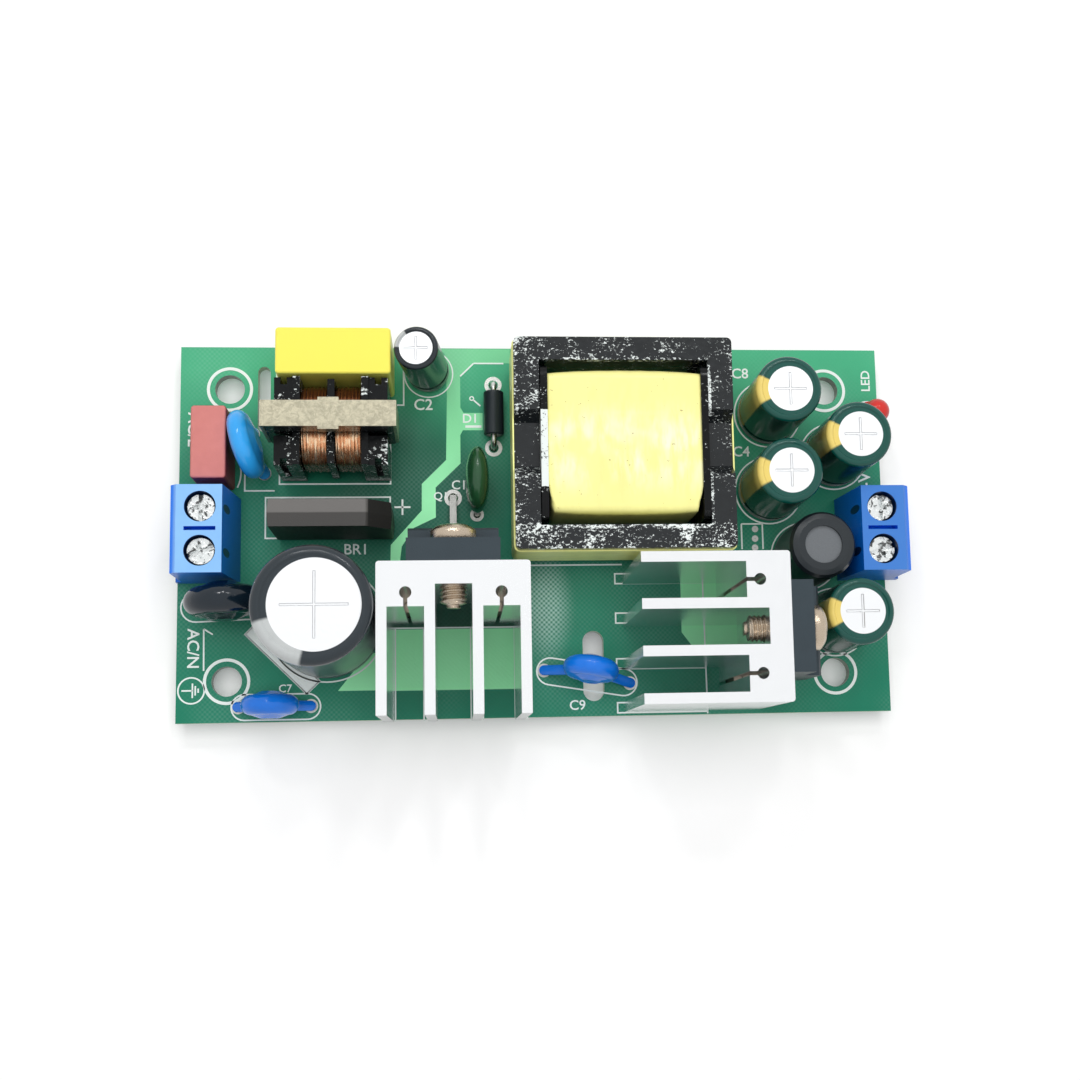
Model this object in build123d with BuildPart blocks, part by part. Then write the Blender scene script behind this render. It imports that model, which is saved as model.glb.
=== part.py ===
from build123d import *
import os
from math import cos, sin, radians

# An open-frame AC to DC power supply module on one circuit board.
# Mains comes in at the left terminal block, passes the fuse, the surge disc,
# the common-mode choke and the bridge, and the transformer steps it down to
# the right terminal block. All lengths are in millimetres.
# The origin is the centre of the four fixing holes on the board's underside,
# +X runs from the mains side to the output side and +Z is the parts side.

# Board
board_length = 85.0
board_width = 45.0
board_thickness = 1.6
board_shift_x = 0.45
board_shift_y = 0.2
fixing_pitch_x = 72.5
fixing_pitch_y = 35.0
fixing_hole_diameter = 3.5
drill_clearance = 0.1
choke_slot_y = 16.3
choke_slot_length = 8.0
choke_slot_width = 1.5
creepage_slot_y = -16.3
creepage_slot_length = 8.4
creepage_slot_width = 2.5

# Flat transformer, which parts the mains side of the board from the output side
transformer_x = 9.9
transformer_sink_gap = 1.5
core_length = 25.3
core_width = 24.6
core_thickness = 9.1
core_rise = 3.2
core_yoke = 2.9
core_leg = 2.7
core_post_thickness = 5.2
core_post_rise = 4.9
core_recess_depth = 1.8
core_recess_top = 7.5
core_recess_floor = 5.1
core_tape_thickness = 0.16
core_tape_height = 7.6
coil_former_wall = 0.7
coil_former_flange = 0.8
coil_former_fit = 0.1
coil_window_gap = 1.15
coil_build = 1.95
coil_top = 12.9
coil_bottom = 2.0
coil_corner = 2.2
coil_rail_foot = 0.5
coil_rail_inset = 1.0
coil_rail_width = 3.4
coil_pin_pitch = 5.0
coil_pin_count = 5
coil_width = core_width - 2 * (core_leg + coil_window_gap)
core_post_width = coil_width - 2 * (coil_build + coil_former_wall + coil_former_fit)
coil_rail_length = core_width - 2 * coil_rail_inset
input_side = transformer_x - core_length / 2
output_side = transformer_x + core_length / 2
choke_slot_x = input_side - 29.45
creepage_slot_x = transformer_x - 3.1

# Leads and their solder joints
lead_tip_length = 2.0
lead_radius = 0.3
heavy_lead_radius = 0.4
solder_height = 1.1
solder_foot_radius = 0.95
solder_gap = 0.02
coating_foot = 0.55

# Terminal blocks, the same moulding at both ends of the board
mains_terminal_x = input_side - 35.25
mains_terminal_y = -0.9
output_terminal_x = output_side + 17.65
output_terminal_y = -1.3
terminal_pitch = 5.0
terminal_length = 10.0
terminal_height = 10.0
terminal_back_foot = 3.2
terminal_back_top = 2.45
terminal_front_top = 2.65
terminal_front_face = 3.35
terminal_toe = 4.1
terminal_toe_height = 1.1
screw_well_diameter = 3.5
terminal_neck_thickness = 0.5
wire_entry_width = 2.6
wire_entry_height = 2.8
terminal_floor = 0.9

# Clamping screws and the cages that they lift
clamp_screw_head_diameter = 3.0
clamp_screw_head_height = 1.5
clamp_screw_shank_diameter = 2.4
clamp_screw_sunk = 0.9
clamp_thread_clearance = 0.05
clamp_turning_gap = 0.05
clamp_slot_width = 0.55
clamp_slot_depth = 0.7
cage_depth = 3.2
cage_width = 3.5
cage_height = 4.4
cage_floor = 0.7
cage_top = 0.9
cage_wall = 0.45
cage_slide_gap = 0.1
cage_rest_height = 0.5
contact_thickness = 0.6
contact_rest_gap = 0.1
contact_width = 2.2
contact_pin_width = 0.9

# Fuse
fuse_x = input_side - 34.8
fuse_y = 9.48
fuse_width = 4.0
fuse_length = 8.5
fuse_height = 7.8
fuse_pitch = 5.08

# Surge disc
varistor_x = input_side - 30.05
varistor_y = 9.6
varistor_diameter = 8.2
varistor_thickness = 3.0
varistor_pitch = 5.0
varistor_turn = 106.0
varistor_lean = 6.0
varistor_rise = 2.4

# Inrush disc
thermistor_x = input_side - 33.05
thermistor_y = -8.7
thermistor_diameter = 9.0
thermistor_thickness = 4.4
thermistor_pitch = 5.0
thermistor_turn = 3.0
thermistor_rise = 1.6

# Line filter capacitor
filter_capacitor_x = input_side - 20.45
filter_capacitor_y = 19.3
filter_capacitor_length = 13.0
filter_capacitor_width = 5.4
filter_capacitor_height = 11.3
filter_capacitor_pitch = 10.0

# Common-mode choke
choke_x = input_side - 20.75
choke_y = 11.3
choke_core_length = 14.3
choke_core_depth = 2.8
choke_core_height = 9.8
choke_leg_height = 2.8
choke_core_rise = 4.1
bobbin_length = 12.8
bobbin_width = 10.2
bobbin_height = 10.2
bobbin_foot = 0.5
bobbin_tube_wall = 0.5
bobbin_flange = 0.8
bobbin_fit = 0.1
winding_thickness = 2.7
clip_thickness = 0.35
clip_width = 2.95
clip_side_length = 8.5
clip_tab_width = 2.3
clip_tab_length = 1.1
choke_pin_pitch_x = 10.4
choke_pin_pitch_y = 7.0

# Bridge rectifier
bridge_x = input_side - 20.85
bridge_y = 0.6
bridge_length = 13.8
bridge_thickness = 3.1
bridge_height = 10.4
bridge_rise = 1.0
bridge_corner = 2.8
bridge_pitch = 3.81

# Bulk capacitor
bulk_x = input_side - 21.9
bulk_y = -10.9
bulk_diameter = 12.9
bulk_height = 21.5
bulk_pitch = 5.0
bulk_turn = 45.0

# Bias capacitor, which leans on its leads
bias_x = input_side - 9.85
bias_y = 19.5
bias_diameter = 5.1
bias_height = 11.0
bias_rise = 0.9
bias_lean = 6.5
bias_pitch = 2.0

# Snubber diode
diode_x = input_side - 2.05
diode_y = 14.2
diode_diameter = 2.4
diode_body_length = 5.4
diode_pitch = 7.8
diode_rise = 0.5

# Film capacitor
film_x = input_side - 4.15
film_y = 5.4
film_length = 7.6
film_thickness = 2.7
film_height = 8.4
film_rise = 0.9
film_pitch = 5.0
film_lead_shift = -0.8

# Heatsinks, one extruded profile used twice
sink_height = 20.0
sink_width = 16.5
sink_depth = 16.4
sink_fin = 1.15
sink_plate = 2.5
sink_boss = 4.9
sink_key_radius = 0.65
sink_key_depth = 3.4
sink_key_slot = 0.45
sink_pin_radius = 0.6
sink_pin_grip = 5.0
primary_sink_x = input_side - 7
primary_sink_face = -6.15
secondary_sink_y = -13.6
transformer_y = secondary_sink_y + (sink_width + core_width) / 2 + transformer_sink_gap
secondary_sink_face = output_side + 4.3

# Power transistors in full plastic packages, screwed to the heatsinks
package_width = 10.1
package_height = 15.9
package_thickness = 4.6
package_tab_thickness = 2.5
package_tab_height = 6.6
package_rise = 4.0
package_hole_radius = 1.65
package_hole_drop = 3.3
package_lead_pitch = 2.54
package_lead_width = 0.8
package_lead_depth = 0.5
package_lead_back = 2.7
formed_lead_reach = 7.6
sink_screw_radius = 1.5
sink_screw_head_radius = 2.5
sink_screw_head_height = 1.9
sink_screw_reach = 7.3
sink_screw_fit = 0.05

# Output capacitors
output_capacitor_diameter = 7.7
output_capacitor_rise = 0.3
output_capacitor_height = 13.0
output_capacitor_pitch = 3.5
output_capacitor_places = [
    (output_side + x, y) for x, y in ((6.45, 14.5), (6.25, 4.9), (14.5, 9.15), (13.85, -11.4))
]
output_capacitor_names = ["a", "b", "c", "d"]

# Output choke
output_choke_x = output_side + 10.45
output_choke_y = -3.3
output_choke_diameter = 7.8
output_choke_height = 10.4
output_choke_drum_radius = 3.3
output_choke_mouth_radius = 2.2
output_choke_pitch = 5.0

# Power light
light_x = output_side + 19.15
light_y = 13.9
light_diameter = 3.0
light_flange_diameter = 3.8
light_height = 5.3
light_rise = 0.6
light_pitch = 1.27

# Safety capacitors
safety_diameter = 6.6
safety_thickness = 3.1
line_safety_x = input_side - 27.95
line_safety_y = -20.5
line_safety_turn = 0.0
line_safety_pitch = 8.4
line_safety_rise = 1.4
bridge_safety_x = transformer_x - 3.9
bridge_safety_y = -17.6
bridge_safety_turn = -9.3
bridge_safety_lean = 8.0
bridge_safety_pitch = 10.4
bridge_safety_rise = 1.4

# Small parts under the board
chip_standoff = 0.05
controller_x = input_side - 11.75
controller_y = 8.5
controller_length = 4.9
controller_width = 3.9
controller_height = 1.45
controller_span = 6.0
controller_pitch = 1.27
isolator_x = transformer_x - 3.4
isolator_y = -8.6
isolator_length = 3.6
isolator_width = 4.4
isolator_height = 1.75
isolator_span = 7.0
isolator_pitch = 2.54
reference_x = transformer_x + 4.6
reference_y = -9.0
reference_length = 2.9
reference_width = 1.3
reference_height = 1.0
reference_span = 2.5
reference_pitch = 1.9
chip_leg_width = 0.42
resistor_length = 3.2
resistor_width = 1.6
resistor_height = 0.55
chip_capacitor_length = 2.0
chip_capacitor_width = 1.25
chip_capacitor_height = 0.9

os.makedirs("parts", exist_ok=True)
top = board_thickness


def save(part, name):
    part.label = name
    export_step(part, "parts/" + name + ".step")


def turned(x, y, degrees_about_z):
    """A point given along a component's own length, turned about the vertical."""
    a = radians(degrees_about_z)
    return (x * cos(a) - y * sin(a), x * sin(a) + y * cos(a))


def pair(x, y, pitch, turn=0.0):
    """Two lead places, half a pitch to each side of a component's centre."""
    dx, dy = turned(pitch / 2, 0, turn)
    return [(x - dx, y - dy), (x + dx, y + dy)]


# Where each lead goes through the board
fuse_leads = pair(fuse_x, fuse_y, fuse_pitch, 90)
varistor_leads = pair(varistor_x, varistor_y, varistor_pitch, varistor_turn)
thermistor_leads = pair(thermistor_x, thermistor_y, thermistor_pitch, thermistor_turn)
filter_leads = pair(filter_capacitor_x, filter_capacitor_y, filter_capacitor_pitch)
choke_pins = [
    (choke_x + i * choke_pin_pitch_x / 2, choke_y + j * choke_pin_pitch_y / 2)
    for i in (-1, 1)
    for j in (-1, 1)
]
bridge_leads = [(bridge_x + (i - 1.5) * bridge_pitch, bridge_y) for i in range(4)]
bulk_leads = pair(bulk_x, bulk_y, bulk_pitch, bulk_turn)
bias_leads = pair(bias_x, bias_y, bias_pitch, 90)
diode_leads = pair(diode_x, diode_y, diode_pitch, 90)
film_leads = pair(film_x, film_y + film_lead_shift, film_pitch, 90)
output_leads = []
for px, py in output_capacitor_places:
    output_leads += pair(px, py, output_capacitor_pitch)
output_choke_leads = pair(output_choke_x, output_choke_y, output_choke_pitch)
light_leads = pair(light_x, light_y, 2 * light_pitch, 90)
line_safety_leads = pair(line_safety_x, line_safety_y, line_safety_pitch, line_safety_turn)
bridge_safety_leads = pair(
    bridge_safety_x, bridge_safety_y, bridge_safety_pitch, bridge_safety_turn
)

coil_pin_x = core_length / 2 - core_yoke / 2
coil_pins = [
    (transformer_x + i * coil_pin_x, transformer_y + (j - (coil_pin_count - 1) / 2) * coil_pin_pitch)
    for i in (-1, 1)
    for j in range(coil_pin_count)
]

fin_step = (sink_width - sink_fin) / 3
primary_sink_pins = [
    (primary_sink_x + i * fin_step, primary_sink_face - sink_key_depth) for i in (-1, 1)
]
secondary_sink_pins = [
    (secondary_sink_face - sink_key_depth, secondary_sink_y + i * fin_step) for i in (-1, 1)
]
primary_package_leads = [
    (primary_sink_x + i * package_lead_pitch, primary_sink_face + package_lead_back)
    for i in (-1, 1)
]
formed_lead = (primary_sink_x, primary_sink_face + package_lead_back + formed_lead_reach)
secondary_package_leads = [
    (secondary_sink_face + package_lead_back, secondary_sink_y + i * package_lead_pitch)
    for i in (-1, 0, 1)
]

contact_pin_back = cage_depth / 2 + cage_slide_gap + contact_thickness / 2 + 0.25
mains_pins = [
    (mains_terminal_x + contact_pin_back, mains_terminal_y + i * terminal_pitch / 2)
    for i in (-1, 1)
]
output_pins = [
    (output_terminal_x - contact_pin_back, output_terminal_y + i * terminal_pitch / 2)
    for i in (-1, 1)
]

round_leads = (
    fuse_leads + varistor_leads + thermistor_leads + filter_leads + bridge_leads
    + film_leads + line_safety_leads + bridge_safety_leads
)
can_leads = bias_leads + output_leads + light_leads + choke_pins + coil_pins
heavy_leads = bulk_leads + output_choke_leads + diode_leads
flat_leads = (
    mains_pins + output_pins + primary_package_leads + secondary_package_leads + [formed_lead]
)
pin_leads = primary_sink_pins + secondary_sink_pins
flat_lead_reach = 0.5 * (contact_pin_width**2 + contact_thickness**2) ** 0.5


# The board, with its fixing holes, lead holes and the two milled slots
with BuildPart() as circuit_board:
    with BuildSketch(Plane.XY):
        with Locations((board_shift_x, board_shift_y)):
            Rectangle(board_length, board_width)
        with GridLocations(fixing_pitch_x, fixing_pitch_y, 2, 2):
            Circle(fixing_hole_diameter / 2, mode=Mode.SUBTRACT)
        with Locations((choke_slot_x, choke_slot_y)):
            SlotOverall(choke_slot_length, choke_slot_width, rotation=90, mode=Mode.SUBTRACT)
        with Locations((creepage_slot_x, creepage_slot_y)):
            SlotOverall(creepage_slot_length, creepage_slot_width, rotation=90, mode=Mode.SUBTRACT)
        with Locations(*(round_leads + can_leads)):
            RegularPolygon(lead_radius + drill_clearance, 8, mode=Mode.SUBTRACT)
        with Locations(*heavy_leads):
            RegularPolygon(heavy_lead_radius + drill_clearance, 8, mode=Mode.SUBTRACT)
        with Locations(*flat_leads):
            RegularPolygon(flat_lead_reach + drill_clearance, 8, mode=Mode.SUBTRACT)
        with Locations(*pin_leads):
            RegularPolygon(sink_pin_radius + drill_clearance, 8, mode=Mode.SUBTRACT)
    extrude(amount=board_thickness)
save(circuit_board.part, "circuit_board")


def solder(places, hole_radius):
    """Solder cones under the board, each with the lead's own hole through it."""
    with BuildPart() as joints:
        with BuildSketch(Plane.XY):
            with Locations(*places):
                RegularPolygon(solder_foot_radius + hole_radius - lead_radius, 8)
        extrude(amount=-solder_height, taper=24)
        with BuildSketch(Plane.XY):
            with Locations(*places):
                RegularPolygon(hole_radius + solder_gap, 8, major_radius=False)
        extrude(amount=-solder_height, mode=Mode.SUBTRACT)
    return joints.part


solder_groups = [
    solder(round_leads + can_leads, lead_radius),
    solder(heavy_leads, heavy_lead_radius),
    solder(flat_leads, flat_lead_reach),
    solder(pin_leads, sink_pin_radius),
]
solder_solids = [s for group in solder_groups for s in group.solids()]
save(Compound(children=solder_solids), "solder_joints")


def straight_leads(places, radius, start):
    """Round tinned leads from a component's base down through the board."""
    with BuildPart() as leads:
        with BuildSketch(Plane.XY.offset(top + start)):
            with Locations(*places):
                Circle(radius)
        extrude(amount=-(top + start + lead_tip_length))
    return leads.part


# Terminal blocks. Each clamp is a cage that the captive screw winds upwards,
# so that the wire is squeezed against the fixed contact bar.
neck_top = terminal_height - clamp_screw_sunk - clamp_screw_head_height - clamp_turning_gap
neck_bottom = neck_top - terminal_neck_thickness
bar_top = cage_rest_height + cage_height - cage_top - contact_rest_gap
bar_bottom = bar_top - contact_thickness
pin_slot_outer = contact_pin_back + contact_thickness / 2


def terminal_side(x, y, way):
    """The upright plane along a terminal's wire entry, way is +1 towards +X."""
    return Plane(origin=(x, y, top), x_dir=(way, 0, 0), z_dir=(0, -way, 0))


def terminal_housing(x, y, way):
    pole = terminal_pitch / 2
    roof = Plane.XY.offset(top + terminal_height)
    mouth_low = terminal_floor + 0.2
    with BuildPart() as housing:
        with BuildSketch(terminal_side(x, y, way)):
            with BuildLine():
                Polyline(
                    (-terminal_back_foot, 0),
                    (-terminal_back_top, terminal_height),
                    (terminal_front_top, terminal_height),
                    (terminal_front_face, terminal_height - 0.75),
                    (terminal_front_face, terminal_toe_height + 0.6),
                    (terminal_toe, terminal_toe_height),
                    (terminal_toe, 0),
                    close=True,
                )
            make_face()
        extrude(amount=terminal_length / 2, both=True)
        with BuildSketch(roof):
            with Locations((x, y - pole), (x, y + pole)):
                Circle(screw_well_diameter / 2)
        extrude(amount=-(terminal_height - neck_top), mode=Mode.SUBTRACT)
        with BuildSketch(roof):
            with Locations((x, y - pole), (x, y + pole)):
                Circle(clamp_screw_shank_diameter / 2 + 0.2)
        extrude(amount=-(terminal_height - neck_bottom), mode=Mode.SUBTRACT)
        with BuildSketch(roof):
            with Locations((x, y)):
                Rectangle(screw_well_diameter, 0.45)
        extrude(amount=-2.0, mode=Mode.SUBTRACT)
        with BuildSketch(Plane.XY.offset(top)):
            with Locations((x, y - pole), (x, y + pole)):
                Rectangle(cage_depth + 2 * cage_slide_gap, cage_width + 2 * cage_slide_gap)
        extrude(amount=neck_bottom, mode=Mode.SUBTRACT)
        with BuildSketch(Plane.XY.offset(top)):
            with Locations(
                (x - way * (pin_slot_outer + 0.05) / 2, y - pole),
                (x - way * (pin_slot_outer + 0.05) / 2, y + pole),
            ):
                Rectangle(pin_slot_outer + 0.05, contact_width + 0.1)
        extrude(amount=bar_top + 0.05, mode=Mode.SUBTRACT)
        with BuildSketch(Plane(origin=(x, y, top), x_dir=(0, way, 0), z_dir=(way, 0, 0))):
            with Locations(
                (-pole, mouth_low + wire_entry_height / 2),
                (pole, mouth_low + wire_entry_height / 2),
            ):
                Rectangle(wire_entry_width, wire_entry_height)
        extrude(amount=terminal_toe + 1, mode=Mode.SUBTRACT)
        with BuildSketch(
            Plane(
                origin=(x + way * (terminal_front_face - 0.5), y, top),
                x_dir=(0, way, 0),
                z_dir=(way, 0, 0),
            )
        ):
            with Locations(
                (-pole, mouth_low + wire_entry_height / 2),
                (pole, mouth_low + wire_entry_height / 2),
            ):
                Rectangle(wire_entry_width, wire_entry_height)
        extrude(amount=1.0, taper=-25, mode=Mode.SUBTRACT)
        with BuildSketch(Plane(origin=(x, y, top), x_dir=(0, way, 0), z_dir=(-way, 0, 0))):
            with Locations((-pole, terminal_height - 2.4), (pole, terminal_height - 2.4)):
                Circle(0.55)
        extrude(amount=terminal_back_foot + 1, mode=Mode.SUBTRACT)
    return housing.part


def terminal_contact(x, y, way):
    """A fixed bar through the cage that turns down into its solder pin."""
    with BuildPart() as contact:
        with BuildSketch(terminal_side(x, y, way)):
            with BuildLine():
                Polyline(
                    (cage_depth / 2 - 0.2, bar_bottom),
                    (cage_depth / 2 - 0.2, bar_top),
                    (-pin_slot_outer, bar_top),
                    (-pin_slot_outer, 0),
                    (-pin_slot_outer + contact_thickness, 0),
                    (-pin_slot_outer + contact_thickness, bar_bottom),
                    close=True,
                )
            make_face()
        extrude(amount=contact_width / 2, both=True)
        with BuildSketch(Plane.XY.offset(top)):
            with Locations((x - way * contact_pin_back, y)):
                Rectangle(contact_thickness, contact_pin_width)
        extrude(amount=-(top + lead_tip_length + 0.2))
    return contact.part


def terminal_cage(x, y, way):
    """A square hoop with a threaded roof that slides up and down in the housing."""
    thread = clamp_screw_shank_diameter / 2 + clamp_thread_clearance
    window = cage_height - cage_floor - cage_top
    with BuildPart() as cage:
        with BuildSketch(Plane.XY.offset(top + cage_rest_height)):
            with Locations((x, y)):
                Rectangle(cage_depth, cage_width)
        extrude(amount=cage_height)
        with BuildSketch(Plane(origin=(x, y, top), x_dir=(0, 1, 0), z_dir=(1, 0, 0))):
            with Locations((0, cage_rest_height + cage_floor + window / 2)):
                Rectangle(cage_width - 2 * cage_wall, window)
        extrude(amount=cage_depth, both=True, mode=Mode.SUBTRACT)
        with BuildSketch(Plane.XY.offset(top + cage_rest_height + cage_height)):
            with Locations((x, y)):
                Circle(thread)
        extrude(amount=-cage_top, mode=Mode.SUBTRACT)
    return cage.part


def terminal_screw(x, y, turn):
    """A captive screw, its slot crossed by a short second slot."""
    head_base = top + neck_top + clamp_turning_gap
    tip = top + bar_top + 0.2
    with BuildPart() as screw:
        with BuildSketch(Plane.XY.offset(head_base)):
            with Locations((x, y)):
                Circle(clamp_screw_head_diameter / 2)
        extrude(amount=clamp_screw_head_height)
        with BuildSketch(Plane.XY.offset(tip)):
            with Locations((x, y)):
                Circle(clamp_screw_shank_diameter / 2)
        extrude(amount=head_base - tip)
        with BuildSketch(Plane.XY.offset(head_base + clamp_screw_head_height)):
            with Locations((x, y)):
                Rectangle(clamp_slot_width, clamp_screw_head_diameter + 1, rotation=turn)
                Rectangle(1.6, clamp_slot_width, rotation=turn)
        extrude(amount=-clamp_slot_depth, mode=Mode.SUBTRACT)
    return screw.part


for side, x, y, way in (
    ("mains", mains_terminal_x, mains_terminal_y, -1),
    ("output", output_terminal_x, output_terminal_y, 1),
):
    save(terminal_housing(x, y, way), side + "_terminal_housing")
    contacts = [terminal_contact(x, y + i * terminal_pitch / 2, way) for i in (-1, 1)]
    save(Compound(children=contacts), side + "_terminal_contacts")
    for number, i, turn in (("1", 1, 0), ("2", -1, -70)):
        pole_y = y + i * terminal_pitch / 2
        save(terminal_cage(x, pole_y, way), side + "_cage_" + number)
        save(terminal_screw(x, pole_y, turn), side + "_clamp_screw_" + number)


# Fuse, a moulded block with two leads
with BuildPart() as fuse:
    with BuildSketch(Plane.XY.offset(top)):
        with Locations((fuse_x, fuse_y)):
            RectangleRounded(fuse_width, fuse_length, 0.4)
    extrude(amount=fuse_height)
    fillet(fuse.faces().sort_by(Axis.Z)[-1].edges(), radius=0.3)
save(fuse.part, "fuse")


def dipped_disc(x, y, diameter, thickness, turn, rise, places, neck_radius, lean=0.0):
    """A dipped disc on edge, its coating run down onto both leads.

    A positive lean tips the top away from the face that looks along -Y before the turn.
    """
    tip = radians(lean)
    face = turned(0, -1, turn)
    along = turned(1, 0, turn)
    reach = rise + diameter / 2
    middle = Plane(
        origin=(x - face[0] * sin(tip) * reach, y - face[1] * sin(tip) * reach, top + reach * cos(tip)),
        x_dir=(along[0], along[1], 0),
        z_dir=(face[0] * cos(tip), face[1] * cos(tip), sin(tip)),
    )
    half = thickness / 2
    rim = thickness * 0.38
    shoulder = diameter / 2 - rim
    with BuildPart() as disc:
        with BuildSketch(Plane(middle.origin, x_dir=middle.x_dir, z_dir=middle.y_dir)):
            with BuildLine():
                Line((0, -half), (0, half))
                Polyline((0, half), (shoulder * 0.5, half), (shoulder, rim))
                ThreePointArc((shoulder, rim), (diameter / 2, 0), (shoulder, -rim))
                Polyline((shoulder, -rim), (shoulder * 0.5, -half), (0, -half))
            make_face()
        revolve(axis=Axis(middle.origin, middle.z_dir), revolution_arc=360)
        for px, py in places:
            foot = Vector(px, py, top + coating_foot)
            run = (middle.origin - Vector(0, 0, diameter * 0.12) - foot) * 0.72
            with BuildSketch(Plane(origin=foot)):
                Circle(neck_radius)
            extrude(amount=run.length, dir=tuple(run.normalized()))
    return disc.part


save(
    dipped_disc(
        varistor_x, varistor_y, varistor_diameter, varistor_thickness, varistor_turn,
        varistor_rise, varistor_leads, 0.75, varistor_lean,
    ),
    "surge_disc",
)
save(
    dipped_disc(
        thermistor_x, thermistor_y, thermistor_diameter, thermistor_thickness,
        thermistor_turn, thermistor_rise, thermistor_leads, 0.7,
    ),
    "inrush_disc",
)
save(
    dipped_disc(
        line_safety_x, line_safety_y, safety_diameter, safety_thickness,
        line_safety_turn, line_safety_rise, line_safety_leads, 0.6,
    ),
    "line_safety_capacitor",
)
save(
    dipped_disc(
        bridge_safety_x, bridge_safety_y, safety_diameter, safety_thickness,
        bridge_safety_turn, bridge_safety_rise, bridge_safety_leads, 0.6, bridge_safety_lean,
    ),
    "bridge_safety_capacitor",
)


# Line filter capacitor, a box on two leads
with BuildPart() as filter_capacitor:
    with BuildSketch(Plane.XY.offset(top)):
        with Locations((filter_capacitor_x, filter_capacitor_y)):
            RectangleRounded(filter_capacitor_length, filter_capacitor_width, 0.4)
    extrude(amount=filter_capacitor_height)
    fillet(filter_capacitor.faces().sort_by(Axis.Z)[-1].edges(), radius=0.3)
save(filter_capacitor.part, "filter_capacitor")


# Common-mode choke: an upright ring core in two halves, its lower leg inside
# a four-legged coil former with two side-by-side windings, held by a clip
core_low = top + choke_core_rise
core_high = core_low + choke_core_height
leg_middle = core_low + choke_leg_height / 2
tube_half = choke_leg_height / 2 + bobbin_fit + bobbin_tube_wall
choke_window = choke_core_length / 2 - choke_leg_height
bobbin_low = top + bobbin_foot
flange_middle = bobbin_low + bobbin_height / 2


def choke_side(y):
    return Plane(origin=(choke_x, y, 0), x_dir=(1, 0, 0), z_dir=(0, -1, 0))


for name, way in (("choke_core_left", -1), ("choke_core_right", 1)):
    with BuildPart() as half:
        with BuildSketch(choke_side(choke_y)):
            with BuildLine():
                Polyline(
                    (0, core_low),
                    (way * choke_core_length / 2, core_low),
                    (way * choke_core_length / 2, core_high),
                    (0, core_high),
                    (0, core_high - choke_leg_height),
                    (way * choke_window, core_high - choke_leg_height),
                    (way * choke_window, core_low + choke_leg_height),
                    (0, core_low + choke_leg_height),
                    close=True,
                )
            make_face()
        extrude(amount=choke_core_depth / 2, both=True)
        fillet(
            half.edges().filter_by(Axis.Y).sort_by_distance(
                (choke_x + way * choke_core_length / 2, choke_y, core_low)
            )[0],
            radius=0.8,
        )
        fillet(
            half.edges().filter_by(Axis.Y).sort_by_distance(
                (choke_x + way * choke_core_length / 2, choke_y, core_high)
            )[0],
            radius=0.8,
        )
    save(half.part, name)

ear_inner = choke_core_depth / 2 + bobbin_fit + 0.2
ear_width = bobbin_width / 2 - ear_inner
flange_outer = choke_window - bobbin_fit
ear_depth = bobbin_length / 2 - flange_outer
tube_plane = Plane(origin=(choke_x - flange_outer, choke_y, leg_middle), x_dir=(0, 1, 0), z_dir=(1, 0, 0))
flange_plane = Plane(
    origin=(choke_x - flange_outer, choke_y, flange_middle), x_dir=(0, 1, 0), z_dir=(1, 0, 0)
)
with BuildPart() as choke_bobbin:
    with BuildSketch(tube_plane):
        Rectangle(2 * tube_half, 2 * tube_half)
    extrude(amount=2 * flange_outer)
    with BuildSketch(flange_plane):
        Rectangle(bobbin_width, bobbin_height)
    extrude(amount=bobbin_flange)
    with BuildSketch(flange_plane.offset(flange_outer - bobbin_flange / 2)):
        Rectangle(bobbin_width - 0.4, bobbin_height - 1)
    extrude(amount=bobbin_flange)
    with BuildSketch(flange_plane.offset(2 * flange_outer - bobbin_flange)):
        Rectangle(bobbin_width, bobbin_height)
    extrude(amount=bobbin_flange)
    with BuildSketch(Plane.XY.offset(bobbin_low)):
        with Locations((choke_x, choke_y)):
            with GridLocations(2 * flange_outer + ear_depth, 2 * ear_inner + ear_width, 2, 2):
                Rectangle(ear_depth, ear_width)
    extrude(amount=bobbin_height - 0.6)
    with BuildSketch(tube_plane):
        Rectangle(
            choke_core_depth + 2 * bobbin_fit, choke_leg_height + 2 * bobbin_fit
        )
    extrude(amount=2 * flange_outer, mode=Mode.SUBTRACT)
    with BuildSketch(Plane.XY.offset(bobbin_low + bobbin_height)):
        with Locations((choke_x, choke_y)):
            with GridLocations(2 * flange_outer + ear_depth, bobbin_width, 2, 2):
                Rectangle(ear_depth * 0.35, 1.6)
    extrude(amount=-bobbin_height * 0.7, mode=Mode.SUBTRACT)
save(choke_bobbin.part, "choke_bobbin")

coil_start = bobbin_flange + 0.05
coil_span = flange_outer - bobbin_flange * 1.5 - 0.1
coil_half = tube_half + winding_thickness
with BuildPart() as choke_windings:
    for shift in (coil_start, 2 * flange_outer - coil_start - coil_span):
        with BuildSketch(tube_plane.offset(shift)):
            RectangleRounded(2 * coil_half, 2 * coil_half, winding_thickness)
            Rectangle(2 * tube_half + 0.06, 2 * tube_half + 0.06, mode=Mode.SUBTRACT)
        extrude(amount=coil_span)
save(choke_windings.part, "choke_windings")

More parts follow.
